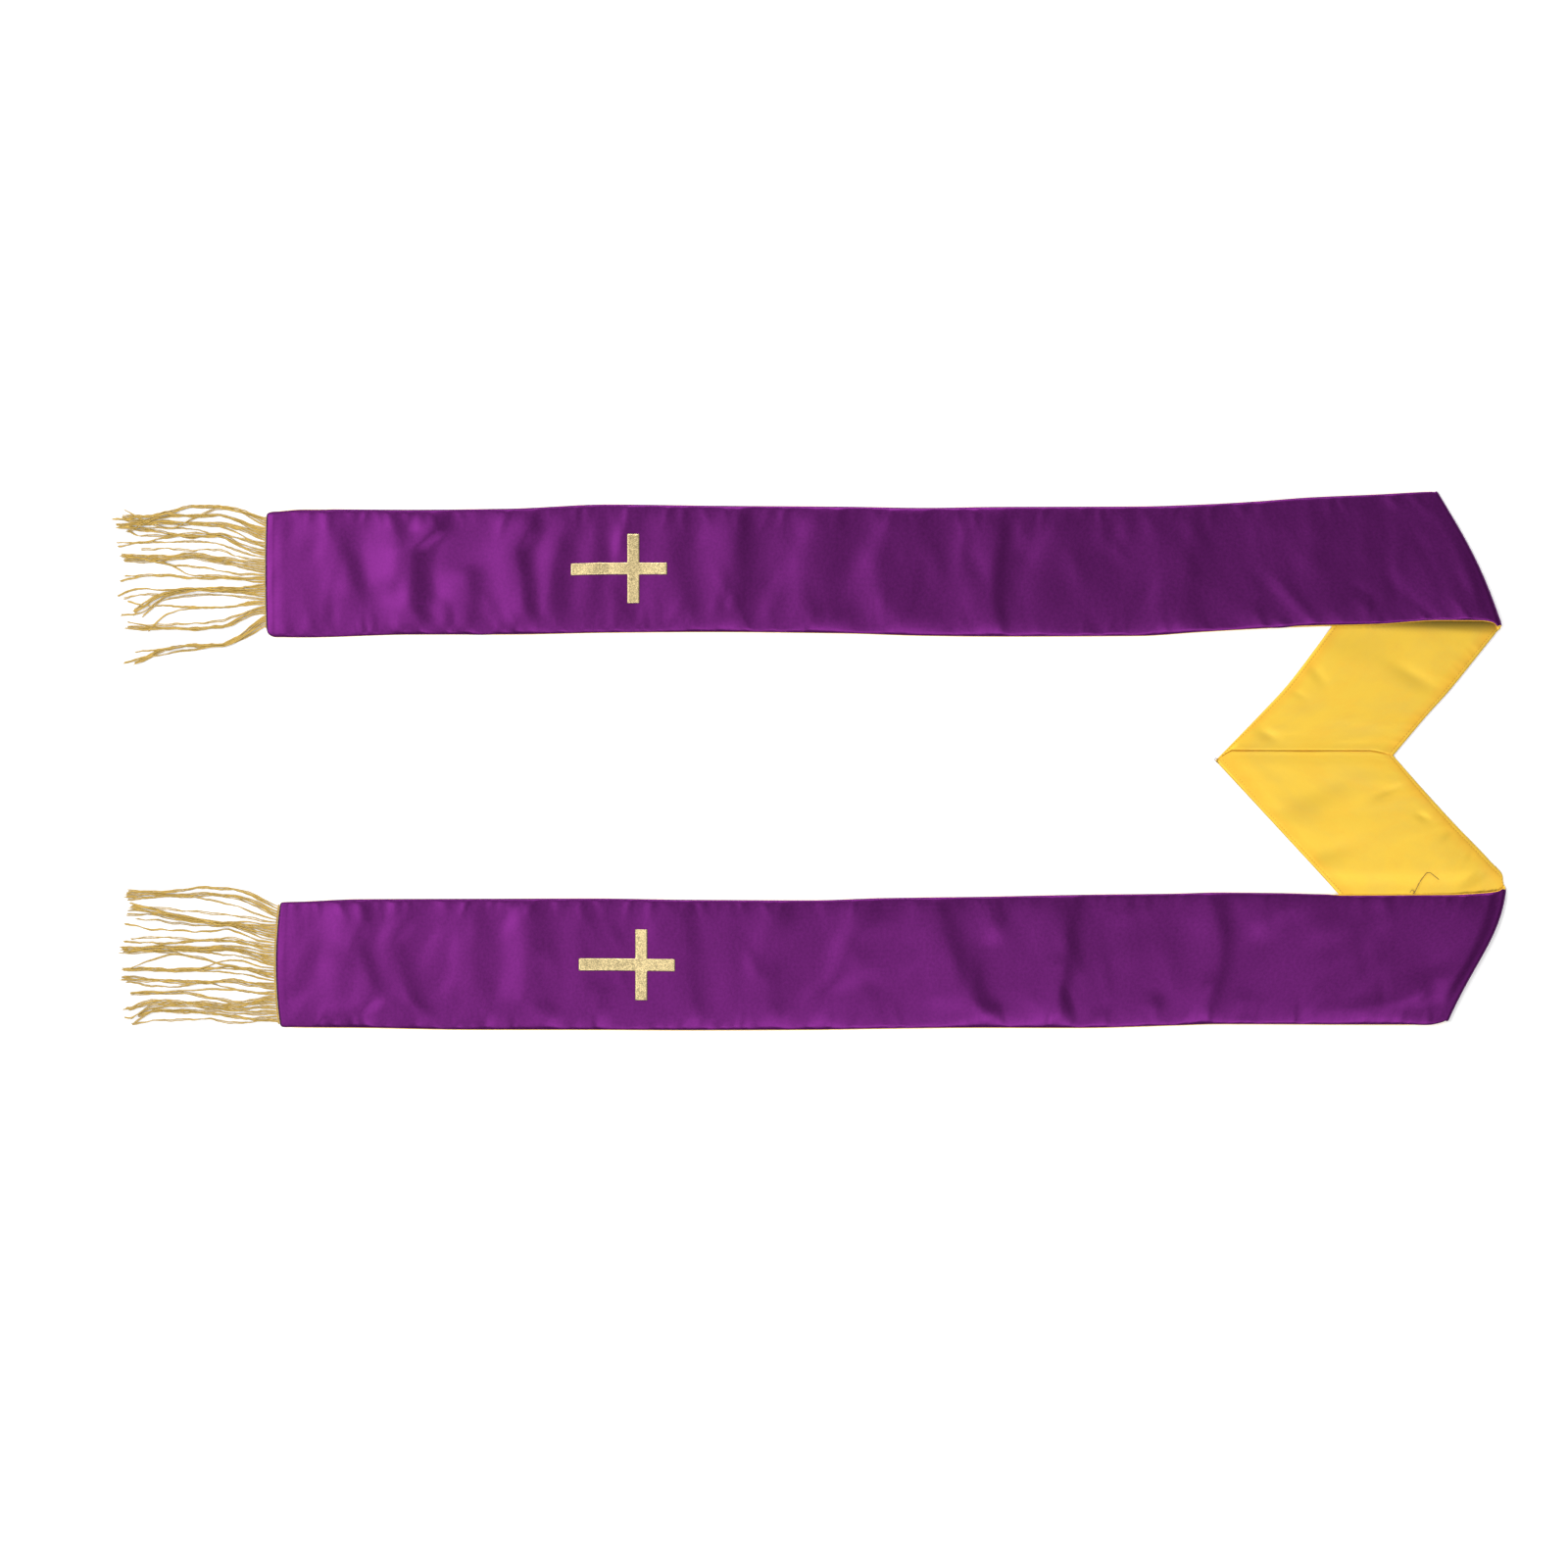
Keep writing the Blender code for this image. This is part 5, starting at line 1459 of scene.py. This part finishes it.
class STOLE_OT_fringes(Operator):
    """Hang the twisted gold fringes on the hems."""

    bl_idname = "stole.fringes"
    bl_label = "Fringes"

    def execute(self, context):
        settings = stole()
        material = gold_yarn(settings.colours)
        for half, seed in halves():
            points, faces, marks = fringe_mesh(half, settings.trim, np.random.default_rng(seed + 3))
            piece = add_piece(f"gold_fringe_{half.name}", points, faces, material, None, marks)
            settle(piece, f"fringe_{half.name}")
        return {"FINISHED"}


class STOLE_OT_satins(Operator):
    """Sew the purple and yellow satin layers of both halves."""

    bl_idname = "stole.satins"
    bl_label = "Satin layers"

    def execute(self, context):
        settings = stole()
        cloth = settings.cloth
        purple = purple_satin(settings.colours, cloth)
        yellow = yellow_satin(settings.colours, cloth)
        v = columns_across()
        for half, seed in halves():
            strip = whole_strip(half, v)
            top = purple_face(half, strip, v, cloth, seed)
            hollow = painted_hollow_shadow(half, strip)
            thick = cloth.thickness
            piece = add_cloth(f"purple_satin_{half.name}", top, strip, half.side > 0, purple, thick, hollow)
            settle(piece, f"purple_panel_{half.name}")
            lining = yellow_face(half, strip, v, cloth, seed)
            back = add_cloth(f"yellow_satin_{half.name}", lining, strip, half.side < 0, yellow, thick, hollow)
            settle(back, f"yellow_panel_{half.name}")
        return {"FINISHED"}


class STOLE_OT_sewing(Operator):
    """Sew the topstitching along the neck's edges and the hems."""

    bl_idname = "stole.sewing"
    bl_label = "Topstitching"

    def execute(self, context):
        settings = stole()
        cloth, trim = settings.cloth, settings.trim
        pitch, thread = trim.stitch / MM, trim.sewing_thread / MM
        tubes, hem_tubes = [], []
        v = columns_across()
        for half, seed in halves():
            strip = whole_strip(half, v)
            points = yellow_face(half, strip, v, cloth, seed)
            column = EDGE_POINTS.index(EDGE_STITCH)
            on_neck = strip.part[:, 0] > 0.0
            for side in (column, len(v) - 1 - column):
                path = points[on_neck, side]
                shown = half.side * (edge_y(half, "inner_y", path[:, 0]) - path[:, 1]) > -STITCHED_BENEATH
                tubes += stitches(path[shown], pitch, thread)
            face = purple_face(half, strip, v, cloth, seed)
            row = HEM_POINTS.index(HEM_STITCH)
            hem_tubes += stitches(face[row, 4:-4], pitch, thread)
        for name, found, shade in (
            ("neck_topstitch", tubes, settings.colours.stitch),
            ("hem_topstitch", hem_tubes, scaled(settings.colours.purple, 0.3)),
            ("loose_thread", loose_tubes(thread), settings.colours.loose),
        ):
            points, faces, _ = gathered(found, THREAD_SIDES)
            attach(add_piece(name, points, faces, sewing_thread(name, shade)), BODY)
        return {"FINISHED"}


class STOLE_OT_stage(Operator):
    """Set the plain table, the soft light and the camera straight above."""

    bl_idname = "stole.stage"
    bl_label = "Table, light and camera"

    def execute(self, context):
        settings = stole()
        light = settings.light
        corners = np.array([(-1, -1, 0), (1, -1, 0), (1, 1, 0), (-1, 1, 0)], float) * TABLE_SIZE / 2 / MM
        corners[:, 2] = -TABLE_CLEAR
        floor = add_piece("table_top", corners, [(0, 1, 2, 3)], table_top(settings.colours, light.glow))
        for lamp in LAMPS:
            add_light(f"{lamp.name}_light", getattr(light, lamp.name), lamp.place, lamp.size)
        world = bpy.data.worlds.new("pale room")
        context.scene.world = world
        world.use_nodes = True
        ground = world.node_tree.nodes["Background"]
        ground.inputs["Color"].default_value = (1.0, 1.0, 1.0, 1.0)
        ground.inputs["Strength"].default_value = light.surround
        camera = bpy.data.cameras.new("camera")
        camera.lens = camera.sensor_width * light.camera_height / light.picture_width
        camera.clip_end = 3 * light.camera_height
        holder = bpy.data.objects.new("camera", camera)
        holder.location = (*PICTURE_CENTRE, light.camera_height)
        context.scene.collection.objects.link(holder)
        context.scene.camera = holder
        context.scene.view_settings.view_transform = "Standard"
        return {"FINISHED"}


def add_light(name, power, place, size):
    """A rectangular soft light turned towards the stole."""
    lamp = bpy.data.lights.new(name, "AREA")
    lamp.energy = power
    lamp.shape = "RECTANGLE"
    lamp.size, lamp.size_y = size
    holder = bpy.data.objects.new(name, lamp)
    holder.location = place
    aim = -holder.location
    holder.rotation_euler = aim.to_track_quat("-Z", "Y").to_euler()
    bpy.context.scene.collection.objects.link(holder)


class STOLE_PT_panel(Panel):
    """The stole's pieces and settings in the sidebar."""

    bl_label = "Stole"
    bl_idname = "STOLE_PT_panel"
    bl_space_type = "VIEW_3D"
    bl_region_type = "UI"
    bl_category = "Stole"

    def draw(self, context):
        for operator in OPERATORS:
            self.layout.operator(operator.bl_idname)
        settings = stole()
        for group in (settings.cloth, settings.trim, settings.colours, settings.light):
            box = self.layout.box()
            for name in group.bl_rna.properties.keys():
                if name not in ("rna_type", "name"):
                    box.prop(group, name)


OPERATORS = (STOLE_OT_crosses, STOLE_OT_fringes, STOLE_OT_satins, STOLE_OT_sewing, STOLE_OT_stage)
CLASSES = (StoleCloth, StoleTrim, StoleColours, StoleLight, StoleSettings, *OPERATORS, STOLE_PT_panel)


def register():
    for item in CLASSES:
        bpy.utils.register_class(item)
    bpy.types.Scene.stole = PointerProperty(type=StoleSettings)


def unregister():
    del bpy.types.Scene.stole
    for item in reversed(CLASSES):
        bpy.utils.unregister_class(item)


def main():
    register()
    bpy.ops.stole.crosses()
    bpy.ops.stole.fringes()
    bpy.ops.stole.satins()
    bpy.ops.stole.sewing()
    bpy.ops.stole.stage()


if __name__ == "__main__":
    main()
